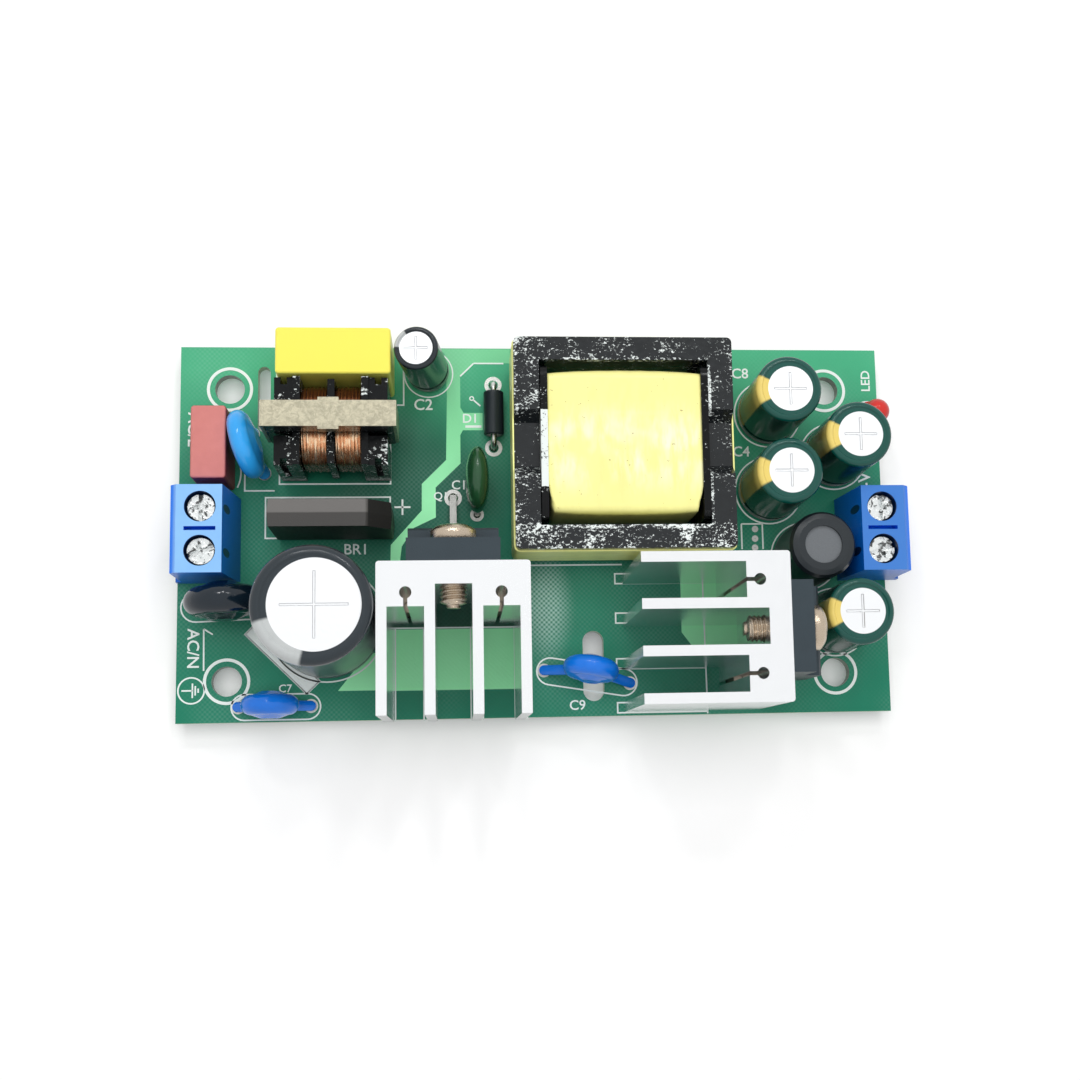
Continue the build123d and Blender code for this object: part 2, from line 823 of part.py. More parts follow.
clip_reach = choke_core_length / 2 + 0.02
with BuildPart() as choke_clip:
    with BuildSketch(choke_side(choke_y)):
        with BuildLine():
            Polyline(
                (-clip_reach - clip_thickness, core_high - clip_side_length),
                (-clip_reach - clip_thickness, core_high + clip_thickness),
                (clip_reach + clip_thickness, core_high + clip_thickness),
                (clip_reach + clip_thickness, core_high - clip_side_length),
                (clip_reach, core_high - clip_side_length),
                (clip_reach, core_high),
                (-clip_reach, core_high),
                (-clip_reach, core_high - clip_side_length),
                close=True,
            )
        make_face()
    extrude(amount=clip_width / 2, both=True)
    with BuildSketch(Plane.XY.offset(core_high + clip_thickness)):
        with Locations((choke_x, choke_y)):
            Rectangle(clip_tab_width, clip_width + 2 * clip_thickness)
    extrude(amount=-clip_tab_length - clip_thickness)
    with BuildSketch(Plane.XY.offset(core_high)):
        with Locations((choke_x, choke_y)):
            Rectangle(clip_tab_width + 1, clip_width)
    extrude(amount=-clip_tab_length, mode=Mode.SUBTRACT)
save(choke_clip.part, "choke_clip")


# Bridge rectifier, a slab on edge with one cut corner at its plus end
bridge_side = Plane(origin=(bridge_x, bridge_y, top + bridge_rise), x_dir=(1, 0, 0), z_dir=(0, -1, 0))
with BuildPart() as bridge:
    with BuildSketch(bridge_side):
        with BuildLine():
            Polyline(
                (-bridge_length / 2, 0),
                (-bridge_length / 2, bridge_height),
                (bridge_length / 2 - bridge_corner, bridge_height),
                (bridge_length / 2, bridge_height - bridge_corner),
                (bridge_length / 2, 0),
                close=True,
            )
        make_face()
    extrude(amount=bridge_thickness / 2, both=True, taper=5)
save(bridge.part, "bridge_rectifier")


def aluminium_can(plane, diameter, height):
    """A sleeved can: crimped near its base and rounded at its rim."""
    radius = diameter / 2
    crimp = min(1.6, height * 0.12)
    with BuildPart() as can:
        with BuildSketch(Plane(plane.origin, x_dir=plane.x_dir, z_dir=plane.y_dir * -1)):
            with BuildLine():
                Polyline(
                    (0, 0),
                    (radius - 0.35, 0),
                    (radius, 0.35),
                    (radius, crimp),
                    (radius - radius * 0.06, crimp + 0.35),
                    (radius, crimp + 0.7),
                    (radius, height - radius * 0.16),
                )
                RadiusArc((radius, height - radius * 0.16), (radius * 0.84, height), -radius * 0.16)
                Polyline(
                    (radius * 0.84, height),
                    (radius * 0.8, height - 0.15),
                    (0, height - 0.15),
                    (0, 0),
                )
            make_face()
        revolve(axis=Axis(plane.origin, plane.z_dir), revolution_arc=360)
    return can.part


bulk_plane = Plane(origin=(bulk_x, bulk_y, top + 0.2))
save(aluminium_can(bulk_plane, bulk_diameter, bulk_height), "bulk_capacitor")
lean = radians(bias_lean)
bias_plane = Plane(origin=(bias_x, bias_y, top + bias_rise), x_dir=(cos(lean), 0, sin(lean)), z_dir=(-sin(lean), 0, cos(lean)))
save(aluminium_can(bias_plane, bias_diameter, bias_height), "bias_capacitor")
for name, (px, py) in zip(output_capacitor_names, output_capacitor_places):
    can_plane = Plane(origin=(px, py, top + output_capacitor_rise))
    can = aluminium_can(can_plane, output_capacitor_diameter, output_capacitor_height)
    save(can, "output_capacitor_" + name)


# Transformer: two E cores meeting in the middle, their flattened posts inside
# the coil former, and a tape round the outside that holds them together
core_bottom = top + core_rise
core_top = core_bottom + core_thickness
post_bottom = top + core_post_rise
post_top = post_bottom + core_post_thickness
post_middle = (post_bottom + post_top) / 2
window_half = core_length / 2 - core_yoke

for name, way in (("transformer_core_left", -1), ("transformer_core_right", 1)):
    outer = way * core_length / 2
    with BuildPart() as core:
        with BuildSketch(Plane.XY.offset(core_bottom)):
            with Locations((transformer_x + way * core_length / 4, transformer_y)):
                Rectangle(core_length / 2, core_width)
            with Locations((transformer_x + way * window_half / 2, transformer_y)):
                Rectangle(window_half, core_width - 2 * core_leg, mode=Mode.SUBTRACT)
        extrude(amount=core_thickness)
        outer_corners = core.edges().filter_by(Axis.Z).sort_by(Axis.X, reverse=way > 0)[:2]
        fillet(outer_corners, radius=0.6)
        with BuildSketch(Plane.XY.offset(post_bottom)):
            with Locations((transformer_x + way * (window_half + 0.5) / 2, transformer_y)):
                Rectangle(window_half + 0.5, core_post_width)
        extrude(amount=core_post_thickness)
        with BuildSketch(
            Plane(
                origin=(transformer_x + outer, transformer_y, core_top),
                x_dir=(0, way, 0),
                z_dir=(way, 0, 0),
            )
        ):
            with BuildLine():
                Polyline(
                    (-core_recess_top / 2, 0),
                    (-core_recess_floor / 2, -core_recess_depth),
                    (core_recess_floor / 2, -core_recess_depth),
                    (core_recess_top / 2, 0),
                    close=True,
                )
            make_face()
        extrude(amount=-core_yoke, mode=Mode.SUBTRACT)
    save(core.part, name)

with BuildPart() as core_tape:
    with BuildSketch(Plane.XY.offset(core_bottom + (core_thickness - core_tape_height) / 2 - 0.6)):
        with Locations((transformer_x, transformer_y)):
            RectangleRounded(
                core_length + 2 * core_tape_thickness,
                core_width + 2 * core_tape_thickness,
                0.6 + core_tape_thickness,
            )
            RectangleRounded(core_length, core_width, 0.6, mode=Mode.SUBTRACT)
    extrude(amount=core_tape_height)
save(core_tape.part, "transformer_core_tape")

former_end = window_half - coil_former_fit
former_height = coil_top - coil_bottom
former_middle = top + (coil_top + coil_bottom) / 2
former_plane = Plane(
    origin=(transformer_x - former_end, transformer_y, former_middle),
    x_dir=(0, 1, 0),
    z_dir=(1, 0, 0),
)
post_plane = Plane(
    origin=(transformer_x - former_end, transformer_y, post_middle), x_dir=(0, 1, 0), z_dir=(1, 0, 0)
)
bore_width = core_post_width + 2 * coil_former_fit
bore_height = core_post_thickness + 2 * coil_former_fit
rail_high = core_rise - coil_former_fit
with BuildPart() as coil_former:
    with BuildSketch(post_plane):
        Rectangle(bore_width + 2 * coil_former_wall, bore_height + 2 * coil_former_wall)
    extrude(amount=2 * former_end)
    with BuildSketch(former_plane):
        RectangleRounded(coil_width + 1.2, former_height - 0.2, 1.4)
    extrude(amount=coil_former_flange)
    with BuildSketch(former_plane.offset(2 * former_end - coil_former_flange)):
        RectangleRounded(coil_width + 1.2, former_height - 0.2, 1.4)
    extrude(amount=coil_former_flange)
    with BuildSketch(post_plane):
        Rectangle(bore_width, bore_height)
    extrude(amount=2 * former_end, mode=Mode.SUBTRACT)
    with BuildSketch(Plane.XY.offset(top + coil_rail_foot)):
        with Locations(
            (transformer_x - coil_pin_x + 0.2, transformer_y),
            (transformer_x + coil_pin_x - 0.2, transformer_y),
        ):
            Rectangle(coil_rail_width, coil_rail_length)
    extrude(amount=rail_high - coil_rail_foot)
    with BuildSketch(Plane.XY.offset(top + coil_rail_foot)):
        with Locations((transformer_x, transformer_y)):
            with GridLocations(2 * coil_pin_x + 3.2, coil_pin_pitch, 2, coil_pin_count - 1):
                Rectangle(1.4, 1.2)
    extrude(amount=rail_high - coil_rail_foot, mode=Mode.SUBTRACT)
save(coil_former.part, "transformer_coil_former")

with BuildPart() as transformer_winding:
    with BuildSketch(former_plane.offset(coil_former_flange)):
        RectangleRounded(coil_width, former_height, coil_corner)
        with Locations((0, post_middle - former_middle)):
            Rectangle(
                bore_width + 2 * coil_former_wall, bore_height + 2 * coil_former_wall, mode=Mode.SUBTRACT
            )
    extrude(amount=2 * (former_end - coil_former_flange))
save(transformer_winding.part, "transformer_winding")


# Snubber diode, lying along the board with its leads bent down
diode_axis = top + diode_rise + diode_diameter / 2
with BuildPart() as diode:
    with BuildSketch(Plane.XZ.offset(-(diode_y - diode_body_length / 2))):
        with Locations((diode_x, diode_axis)):
            Circle(diode_diameter / 2)
    extrude(amount=-diode_body_length)
    fillet(diode.edges().filter_by(GeomType.CIRCLE), radius=0.25)
save(diode.part, "clamp_diode")

bend = 0.9
diode_wires = []
for i in (-1, 1):
    start = (diode_x, diode_y + i * diode_body_length / 2, diode_axis)
    corner = (diode_x, diode_y + i * diode_pitch / 2, diode_axis)
    foot = (diode_x, diode_y + i * diode_pitch / 2, -lead_tip_length)
    with BuildPart() as wire:
        with BuildLine() as route:
            FilletPolyline(start, corner, foot, radius=bend)
        with BuildSketch(Plane(origin=start, z_dir=(0, i, 0))):
            Circle(heavy_lead_radius - 0.05)
        sweep()
    diode_wires.append(wire.part)


# Film capacitor, a flattened drop
with BuildPart() as film_capacitor:
    for h, share in ((0, 0.72), (film_height * 0.45, 1.0), (film_height * 0.82, 0.86), (film_height, 0.45)):
        with BuildSketch(Plane.XY.offset(top + film_rise + h)):
            with Locations((film_x, film_y)):
                SlotOverall(film_length * (0.5 + share / 2), film_thickness * share, rotation=90)
    loft()
save(film_capacitor.part, "film_capacitor")


# Heatsinks: a comb of four fins with two keyed bosses for the solder pins
def sink_profile(plane, hole_height):
    half = sink_width / 2
    inner = fin_step / 2 - sink_fin / 2
    with BuildPart() as sink:
        with BuildSketch(plane):
            with Locations((0, -sink_depth / 2)):
                Rectangle(sink_width, sink_depth)
            with Locations((0, -(sink_depth + sink_plate) / 2)):
                Rectangle(fin_step - sink_fin, sink_depth - sink_plate, mode=Mode.SUBTRACT)
            with Locations(
                (-fin_step, -(sink_depth + sink_boss) / 2), (fin_step, -(sink_depth + sink_boss) / 2)
            ):
                Rectangle(fin_step - sink_fin, sink_depth - sink_boss, mode=Mode.SUBTRACT)
            with Locations((-fin_step, -sink_key_depth), (fin_step, -sink_key_depth)):
                Circle(sink_key_radius, mode=Mode.SUBTRACT)
            with Locations(
                (-fin_step, -(sink_key_depth + sink_boss) / 2),
                (fin_step, -(sink_key_depth + sink_boss) / 2),
            ):
                Rectangle(sink_key_slot, sink_boss - sink_key_depth, mode=Mode.SUBTRACT)
        extrude(amount=sink_height)
        fillet(sink.edges().filter_by(Axis.Z).sort_by(lambda e: -(plane.to_local_coords(e.center()).Y))[:2], radius=0.35)
        across = Plane(
            origin=plane.origin + Vector(0, 0, hole_height), x_dir=plane.x_dir, z_dir=plane.y_dir * -1
        )
        with BuildSketch(across):
            Circle(sink_screw_radius + sink_screw_fit)
        extrude(amount=sink_plate, mode=Mode.SUBTRACT)
    return sink.part


package_top = package_rise + package_height
screw_height = package_top - package_hole_drop
primary_plane = Plane(origin=(primary_sink_x, primary_sink_face, top), x_dir=(1, 0, 0), z_dir=(0, 0, 1))
secondary_plane = Plane(origin=(secondary_sink_face, secondary_sink_y, top), x_dir=(0, -1, 0), z_dir=(0, 0, 1))
save(sink_profile(primary_plane, screw_height), "primary_heatsink")
save(sink_profile(secondary_plane, screw_height), "secondary_heatsink")


def sink_pins(places):
    """Solder pins driven up into the heatsink's keyed holes."""
    with BuildPart() as pins:
        with BuildSketch(Plane.XY.offset(-lead_tip_length - 0.2)):
            with Locations(*places):
                Circle(sink_pin_radius)
        extrude(amount=lead_tip_length + 0.2 + top + sink_pin_grip)
    return pins.part


save(sink_pins(primary_sink_pins), "primary_heatsink_pins")
save(sink_pins(secondary_sink_pins), "secondary_heatsink_pins")


def upright_profile(plane):
    """The upright plane that looks at a package from its side."""
    return Plane(plane.origin, x_dir=plane.z_dir, z_dir=plane.z_dir.cross(Vector(0, 0, 1)))


def power_package(plane):
    """A full plastic package, its thin tab holed for the screw, and its leads.

    The plane's origin is on the package's back, its x runs across the package
    and its z points away from the heatsink.
    """
    low = package_rise
    step = package_top - package_tab_height
    with BuildPart() as body:
        with BuildSketch(upright_profile(plane)):
            with BuildLine():
                Polyline(
                    (0, low),
                    (0, package_top),
                    (package_tab_thickness, package_top),
                    (package_tab_thickness, step + 0.5),
                    (package_tab_thickness + 0.5, step),
                    (package_thickness - 0.3, step),
                    (package_thickness, step - 0.4),
                    (package_thickness, low + 0.8),
                    (package_thickness - 0.6, low),
                    close=True,
                )
            make_face()
        extrude(amount=package_width / 2, both=True)
        with BuildSketch(plane):
            with Locations((0, screw_height)):
                Circle(package_hole_radius)
        extrude(amount=package_tab_thickness, mode=Mode.SUBTRACT)
    return body.part


def package_legs(plane, places):
    """Flat leads straight down to the board, wide where they leave the package."""
    wide = 2.4
    with BuildPart() as legs:
        with BuildSketch(plane.offset(package_lead_back - package_lead_depth / 2)):
            with Locations(*[(i * package_lead_pitch, package_rise - wide / 2) for i in places]):
                Rectangle(package_lead_width + 0.6, wide)
            with Locations(
                *[
                    (i * package_lead_pitch, (package_rise - wide - top - lead_tip_length) / 2)
                    for i in places
                ]
            ):
                Rectangle(package_lead_width, package_rise - wide + top + lead_tip_length)
        extrude(amount=package_lead_depth)
    return legs.part


def formed_leg(plane):
    """The middle lead, bent well forward to its own hole to keep its distance."""
    near = package_lead_back - package_lead_depth / 2
    far = near + formed_lead_reach
    thick = package_lead_depth
    with BuildPart() as leg:
        with BuildSketch(upright_profile(plane)):
            with BuildLine():
                Polyline(
                    (near, package_rise),
                    (near + thick, package_rise),
                    (near + thick, package_rise - 0.8),
                    (far + thick, 0.9),
                    (far + thick, -top - lead_tip_length),
                    (far, -top - lead_tip_length),
                    (far, 0.55),
                    (near, package_rise - 1.15),
                    close=True,
                )
            make_face()
        extrude(amount=package_lead_width / 2, both=True)
    return leg.part


primary_package_plane = Plane(
    origin=(primary_sink_x, primary_sink_face, top), x_dir=(-1, 0, 0), z_dir=(0, 1, 0)
)
secondary_package_plane = Plane(
    origin=(secondary_sink_face, secondary_sink_y, top), x_dir=(0, 1, 0), z_dir=(1, 0, 0)
)
save(power_package(primary_package_plane), "switch_transistor")
save(power_package(secondary_package_plane), "output_rectifier")

def sink_screw(plane):
    """A pan head screw through the package's tab into the tapped heatsink."""
    seat = package_tab_thickness
    dome = 0.5
    with BuildPart() as screw:
        with BuildSketch(upright_profile(plane)):
            with BuildLine():
                Polyline(
                    (seat - sink_screw_reach, screw_height),
                    (seat - sink_screw_reach, screw_height + sink_screw_radius),
                    (seat, screw_height + sink_screw_radius),
                    (seat, screw_height + sink_screw_head_radius),
                    (seat + sink_screw_head_height - dome, screw_height + sink_screw_head_radius),
                    (seat + sink_screw_head_height, screw_height + sink_screw_head_radius - dome),
                    (seat + sink_screw_head_height, screw_height),
                    close=True,
                )
            make_face()
        revolve(
            axis=Axis(plane.origin + Vector(0, 0, screw_height), plane.z_dir), revolution_arc=360
        )
        with BuildSketch(plane.offset(seat + sink_screw_head_height)):
            with Locations((0, screw_height)):
                Rectangle(2.8, 0.6, rotation=20)
                Rectangle(0.6, 2.8, rotation=20)
        extrude(amount=-0.9, mode=Mode.SUBTRACT)
    return screw.part


save(sink_screw(primary_package_plane), "transistor_screw")
save(sink_screw(secondary_package_plane), "rectifier_screw")


# Output choke, a ferrite drum with its winding under a shrunk sleeve
with BuildPart() as choke_drum:
    with BuildSketch(Plane.XZ.offset(-output_choke_y)):
        with BuildLine():
            Polyline(
                (output_choke_x, top + 0.3),
                (output_choke_x + output_choke_drum_radius, top + 0.3),
                (output_choke_x + output_choke_drum_radius, top + 1.5),
                (output_choke_x + output_choke_drum_radius * 0.5, top + 1.5),
                (output_choke_x + output_choke_drum_radius * 0.5, top + output_choke_height - 1.5),
                (output_choke_x + output_choke_drum_radius, top + output_choke_height - 1.5),
                (output_choke_x + output_choke_drum_radius, top + output_choke_height - 0.4),
                (output_choke_x, top + output_choke_height - 0.4),
                close=True,
            )
        make_face()
    revolve(axis=Axis((output_choke_x, output_choke_y, 0), (0, 0, 1)), revolution_arc=360)
save(choke_drum.part, "output_choke_drum")

with BuildPart() as choke_sleeve:
    with BuildSketch(Plane.XZ.offset(-output_choke_y)):
        with BuildLine():
            Polyline(
                (output_choke_x + output_choke_drum_radius + 0.05, top + 0.6),
                (output_choke_x + output_choke_diameter / 2, top + 0.6),
                (output_choke_x + output_choke_diameter / 2, top + output_choke_height - 0.8),
                (output_choke_x + output_choke_diameter / 2 - 0.3, top + output_choke_height - 0.2),
                (output_choke_x + output_choke_diameter / 2 - 0.9, top + output_choke_height),
                (output_choke_x + output_choke_mouth_radius, top + output_choke_height),
                (output_choke_x + output_choke_mouth_radius, top + output_choke_height - 0.35),
                (output_choke_x + output_choke_drum_radius + 0.05, top + output_choke_height - 0.35),
                close=True,
            )
        make_face()
    revolve(axis=Axis((output_choke_x, output_choke_y, 0), (0, 0, 1)), revolution_arc=360)
save(choke_sleeve.part, "output_choke_sleeve")


# Power light, a round-topped lens on a flange
with BuildPart() as light:
    with BuildSketch(Plane.XZ.offset(-light_y)):
        with BuildLine():
            Polyline(
                (light_x, top + light_rise),
                (light_x + light_flange_diameter / 2, top + light_rise),
                (light_x + light_flange_diameter / 2, top + light_rise + 1.0),
                (light_x + light_diameter / 2, top + light_rise + 1.0),
                (light_x + light_diameter / 2, top + light_rise + light_height - light_diameter / 2),
            )
            RadiusArc(
                (light_x + light_diameter / 2, top + light_rise + light_height - light_diameter / 2),
                (light_x, top + light_rise + light_height),
                -light_diameter / 2,
            )
            Line((light_x, top + light_rise + light_height), (light_x, top + light_rise))
        make_face()
    revolve(axis=Axis((light_x, light_y, 0), (0, 0, 1)), revolution_arc=360)
save(light.part, "power_light")


# Small surface-mounted parts under the board
def gull_wing_chip(x, y, turn, length, width, height, pins, pitch, span):
    """A chip hung under the board, with its bent legs on two sides."""
    base = Plane(origin=(x, y, 0), x_dir=(cos(radians(turn)), sin(radians(turn)), 0), z_dir=(0, 0, -1))
    with BuildPart() as chip:
        with BuildSketch(base.offset(chip_standoff + 0.1)):
            Rectangle(length, width)
        extrude(amount=height - 0.1)
        leg = (span - width) / 2
        with BuildSketch(base):
            with GridLocations(pitch, width + leg + 0.4, pins, 2):
                Rectangle(chip_leg_width, leg - 0.4)
        extrude(amount=0.2)
        with BuildSketch(base.offset(0.2)):
            with GridLocations(pitch, width + 0.4, pins, 2):
                Rectangle(chip_leg_width, 0.5)
        extrude(amount=height * 0.5)
    return chip.part


save(
    gull_wing_chip(
        controller_x, controller_y, 0, controller_length, controller_width, controller_height,
        4, controller_pitch, controller_span,
    ),
    "controller_chip",
)
save(
    gull_wing_chip(
        isolator_x, isolator_y, 90, isolator_length, isolator_width, isolator_height,
        2, isolator_pitch, isolator_span,
    ),
    "isolator_chip",
)
save(
    gull_wing_chip(
        reference_x, reference_y, 0, reference_length, reference_width, reference_height,
        2, reference_pitch, reference_span,
    ),
    "reference_chip",
)

# Flat resistors and capacitors, each as its place from a side of the transformer and its turn
resistor_places = [
    (input_side + x, y, turn)
    for x, y, turn in (
        (-19.25, 16.9, 0), (-12.25, 13.8, 0), (-7.25, 13.0, 90), (-14.15, 3.4, 0), (-10.25, 3.4, 0),
        (-6.65, 9.6, 90), (-28.65, 1.6, 90), (-27.25, -4.5, 0), (-12.25, -1.2, 0),
    )
]
resistor_places += [
    (transformer_x + x, y, turn)
    for x, y, turn in ((8.9, -9.5, 90), (10.9, -9.5, 90), (1.1, -12.6, 0), (4.7, -12.6, 0))
]
resistor_places += [(output_side + 10.65, 1.4, 0)]
capacitor_places = [(input_side - 17.25, 9.0, 90), (input_side - 11.25, 16.4, 0)]
capacitor_places += [(transformer_x + 1.5, -9.0, 90), (transformer_x + 7.5, -14.6, 0)]
capacitor_places += [(output_side + 10.05, 4.6, 90)]
resistor_size = (resistor_length, resistor_width, resistor_height)
capacitor_size = (chip_capacitor_length, chip_capacitor_width, chip_capacitor_height)


def chips(places, size):
    with BuildPart() as blocks:
        with BuildSketch(Plane.XY.offset(-chip_standoff)):
            for px, py, turn in places:
                with Locations((px, py)):
                    Rectangle(size[0], size[1], rotation=turn)
        extrude(amount=-size[2])
    return blocks.part


save(chips(resistor_places, resistor_size), "chip_resistors")
save(chips(capacitor_places, capacitor_size), "chip_capacitors")


# Leads of all the through-hole parts
lead_groups = [
    straight_leads(fuse_leads + filter_leads, lead_radius, 0.0),
    straight_leads(
        varistor_leads + thermistor_leads + line_safety_leads + bridge_safety_leads, lead_radius, coating_foot
    ),
    straight_leads(bridge_leads, lead_radius, bridge_rise),
    straight_leads(film_leads, lead_radius, film_rise),
    straight_leads(bias_leads, lead_radius, bias_rise - 0.25),
    straight_leads(output_leads, lead_radius, output_capacitor_rise),
    straight_leads(light_leads, lead_radius, light_rise),
    straight_leads(choke_pins, lead_radius, bobbin_foot),
    straight_leads(coil_pins, lead_radius, coil_rail_foot),
    straight_leads(bulk_leads, heavy_lead_radius, 0.2),
    straight_leads(output_choke_leads, heavy_lead_radius, 0.3),
]
lead_solids = [s for group in lead_groups for s in group.solids()]
lead_solids += [s for wire in diode_wires for s in wire.solids()]
save(Compound(children=lead_solids), "wire_leads")

leg_solids = [
    *package_legs(primary_package_plane, (-1, 1)).solids(),
    *formed_leg(primary_package_plane).solids(),
    *package_legs(secondary_package_plane, (-1, 0, 1)).solids(),
]
save(Compound(children=leg_solids), "package_leads")
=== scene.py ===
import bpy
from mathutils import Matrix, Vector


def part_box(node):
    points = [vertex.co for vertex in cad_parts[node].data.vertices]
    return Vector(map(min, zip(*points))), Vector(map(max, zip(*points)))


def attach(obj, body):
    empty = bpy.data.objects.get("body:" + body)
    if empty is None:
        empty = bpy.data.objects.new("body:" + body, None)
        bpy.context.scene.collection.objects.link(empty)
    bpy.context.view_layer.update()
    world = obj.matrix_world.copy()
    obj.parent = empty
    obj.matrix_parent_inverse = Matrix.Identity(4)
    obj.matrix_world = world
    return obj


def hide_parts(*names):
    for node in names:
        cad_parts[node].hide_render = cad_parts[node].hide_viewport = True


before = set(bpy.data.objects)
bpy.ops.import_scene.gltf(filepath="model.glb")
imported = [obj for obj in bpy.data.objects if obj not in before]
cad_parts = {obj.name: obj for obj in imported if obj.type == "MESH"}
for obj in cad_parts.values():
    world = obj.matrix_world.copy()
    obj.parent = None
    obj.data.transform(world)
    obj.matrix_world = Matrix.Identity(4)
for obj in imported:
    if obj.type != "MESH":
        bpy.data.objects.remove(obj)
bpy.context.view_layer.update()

import math

import bpy
import numpy as np
from bpy.props import FloatProperty, FloatVectorProperty, IntProperty, PointerProperty
from bpy.types import Operator, Panel, PropertyGroup
from mathutils import Matrix, Vector

bl_info = {
    "name": "Power supply module looks",
    "version": (1, 0, 0),
    "blender": (4, 5, 0),
    "location": "3D View > Sidebar > Supply",
    "description": "Finishes, printed marks, windings, screws and stage for an open-frame power supply",
    "category": "Object",
}

MM = 0.001
MODULE = "module"
BOARD_TOP = 1.6
HOLE_X, HOLE_Y = 36.25, 17.5


# Units and colours for the settings
def linear(red, green, blue):
    """Steps of 0 to 255 as linear light: c/12.92 up to 0.04045, else ((c + 0.055)/1.055) to the
    power 2.4."""
    c = np.array((red, green, blue), float) / 255
    light = np.where(c <= 0.04045, c / 12.92, ((c + 0.055) / 1.055) ** 2.4)
    return tuple(float(x) for x in light)


def paint(name, description, red, green, blue):
    """A colour setting, written in steps of 0 to 255."""
    return FloatVectorProperty(
        name=name, description=description, size=3, subtype="COLOR",
        min=0, max=1, default=linear(red, green, blue),
    )


def span(name, description, millimetres):
    """A length setting, written in millimetres."""
    return FloatProperty(
        name=name, description=description, default=millimetres * MM,
        unit="LENGTH", subtype="DISTANCE", precision=5, min=0,
    )


def amount(name, description, default, low=0.0, high=10.0):
    """A plain number setting."""
    return FloatProperty(name=name, description=description, default=default, min=low, max=high)


class BoardSettings(PropertyGroup):
    # Painted light: each mask has a low and a high colour, and the change between them toward the far edge is
    # painted light, not a change in the mask itself.
    mask_dark: paint("Mask, lower half", "Solder mask over bare laminate, near the lower edge", 26, 124, 96)
    mask_light: paint("Mask, upper half",
                      "Solder mask over bare laminate, near the upper edge", 74, 178, 132)
    copper_dark: paint("Mask on copper, low",
                       "Solder mask where copper lies under it, near the lower edge", 164, 255, 190)
    copper_light: paint("Mask on copper, high",
                        "Solder mask where copper lies under it, upper part", 118, 206, 152)
    laminate: paint("Laminate edge",
                    "Cut glass laminate at the board's edges and in its holes", 188, 208, 176)
    ink: paint("Print", "White printed marks", 232, 240, 236)
    tin: paint("Pad tin", "Tinned pads and solder", 214, 214, 210)
    hole_wall: paint("Hole wall", "Shaded laminate inside the fixing holes", 92, 112, 92)
    ink_line: span("Print line", "Width of a printed line", 0.18)
    ink_height: span("Print height", "Thickness of the print on the mask", 0.03)
    hole_ring: span("Hole ring", "Outer radius of the printed ring round a fixing hole", 2.72)


class PlasticSettings(PropertyGroup):
    # Painted light: tops and sides are lit and shaded copies of one blue, and the mains top is painted lighter
    # than the output top.
    terminal_mains: paint("Mains terminal top", "Top of the mains terminal's housing", 148, 200, 250)
    terminal_output: paint("Output terminal top", "Top of the output terminal's housing", 72, 128, 204)
    terminal_side: paint("Terminal side", "Sides of both terminal housings", 0, 122, 246)
    blue_dip: paint("Blue dip", "Coating of the surge disc and the safety capacitors", 10, 120, 232)
    black_dip: paint("Black dip", "Coating of the inrush disc", 12, 28, 40)
    olive_dip: paint("Olive dip", "Coating of the film capacitor", 34, 80, 48)
    filter_case: paint("Filter case", "Case of the line filter capacitor", 250, 236, 96)
    fuse_case: paint("Fuse side", "Sides of the moulded fuse", 150, 62, 66)
    fuse_top: paint("Fuse top", "Top of the moulded fuse", 216, 136, 130)
    bridge: paint("Bridge", "Moulding of the bridge", 44, 43, 42)
    surge: paint("Surge disc", "Coating of the surge disc", 50, 172, 252)
    moulding: paint("Black moulding", "Packages, bridge and chips", 34, 42, 47)
    former: paint("Coil former", "Black coil formers and varnished cores", 12, 15, 17)
    sleeve_black: paint("Black sleeve", "Sleeves of the large and the small input capacitors", 46, 56, 63)
    sleeve_green: paint("Green sleeve", "Sleeves of the output capacitors", 4, 48, 42)
    stripe_gold: paint("Gold stripe", "Negative stripe of the output capacitors", 240, 214, 116)
    stripe_silver: paint("Silver stripe", "Negative stripe of the input capacitors", 196, 200, 200)
    tape: paint("Tape", "Polyester tape round the transformer", 246, 240, 132)
    lens: paint("Lens", "Red lens of the power light", 214, 34, 24)


class MetalSettings(PropertyGroup):
    aluminium: paint("Aluminium", "Heatsinks and capacitor tops", 244, 246, 248)
    nickel: paint("Nickel", "Terminal screws, cages and contacts", 232, 236, 236)
    bronze: paint("Bronze", "Chromated screws through the heatsinks", 200, 184, 164)
    clip: paint("Clip steel", "Spring clip over the choke", 200, 194, 170)
    copper: paint("Copper", "Enamelled choke wire", 232, 172, 128)
    # Painted light: glint is a painted highlight, and copper_shade is the colour the wire takes outside its
    # lit zone, painted shade.
    glint: paint("Wire glint", "Where the enamelled wire catches the light", 255, 224, 188)
    copper_shade: paint("Copper in shade", "Enamelled wire between turns", 112, 60, 36)
    ferrite: paint("Ferrite", "Bare ferrite of the output choke", 104, 108, 112)
    wire_thickness: span("Choke wire", "Diameter of the enamelled choke wire", 0.42)
    screw_pitch: span("Screw pitch", "Pitch of the heatsink screws' thread", 0.5)
    thread_depth: span("Thread depth", "Depth of the heatsink screws' thread", 0.27)


class TapeSettings(PropertyGroup):
    barrel: span("Barrel", "How far the tape falls away from its middle at each end", 0.34)
    lap: span("Lap", "Step where the tape's last turn ends", 0.09)
    wrinkle: span("Wrinkle", "Height of the tape's wrinkles", 0.012)
    columns: IntProperty(name="Columns", description="Steps along the winding", default=72, min=8, max=400)
    rows: IntProperty(name="Rows", description="Steps round the winding", default=224, min=32, max=800)


class StageSettings(PropertyGroup):
    floor_colour: paint("Floor", "Plain pale floor", 242, 242, 242)
    floor_glow: amount("Floor whiteness", "What the camera alone adds to the floor", 0.12)
    sky: amount("Sky", "Strength of the white surroundings as light", 0.40)
    overhead: amount("Overhead lamp", "Power of the large lamp overhead, in watts", 2.0, 0, 200)
    spark: amount("Small lamps", "Power of each small lamp beyond the board, in watts", 0.1, 0, 50)
    lens: FloatProperty(name="Lens", description="Focal length", default=51.91, min=10, max=200)


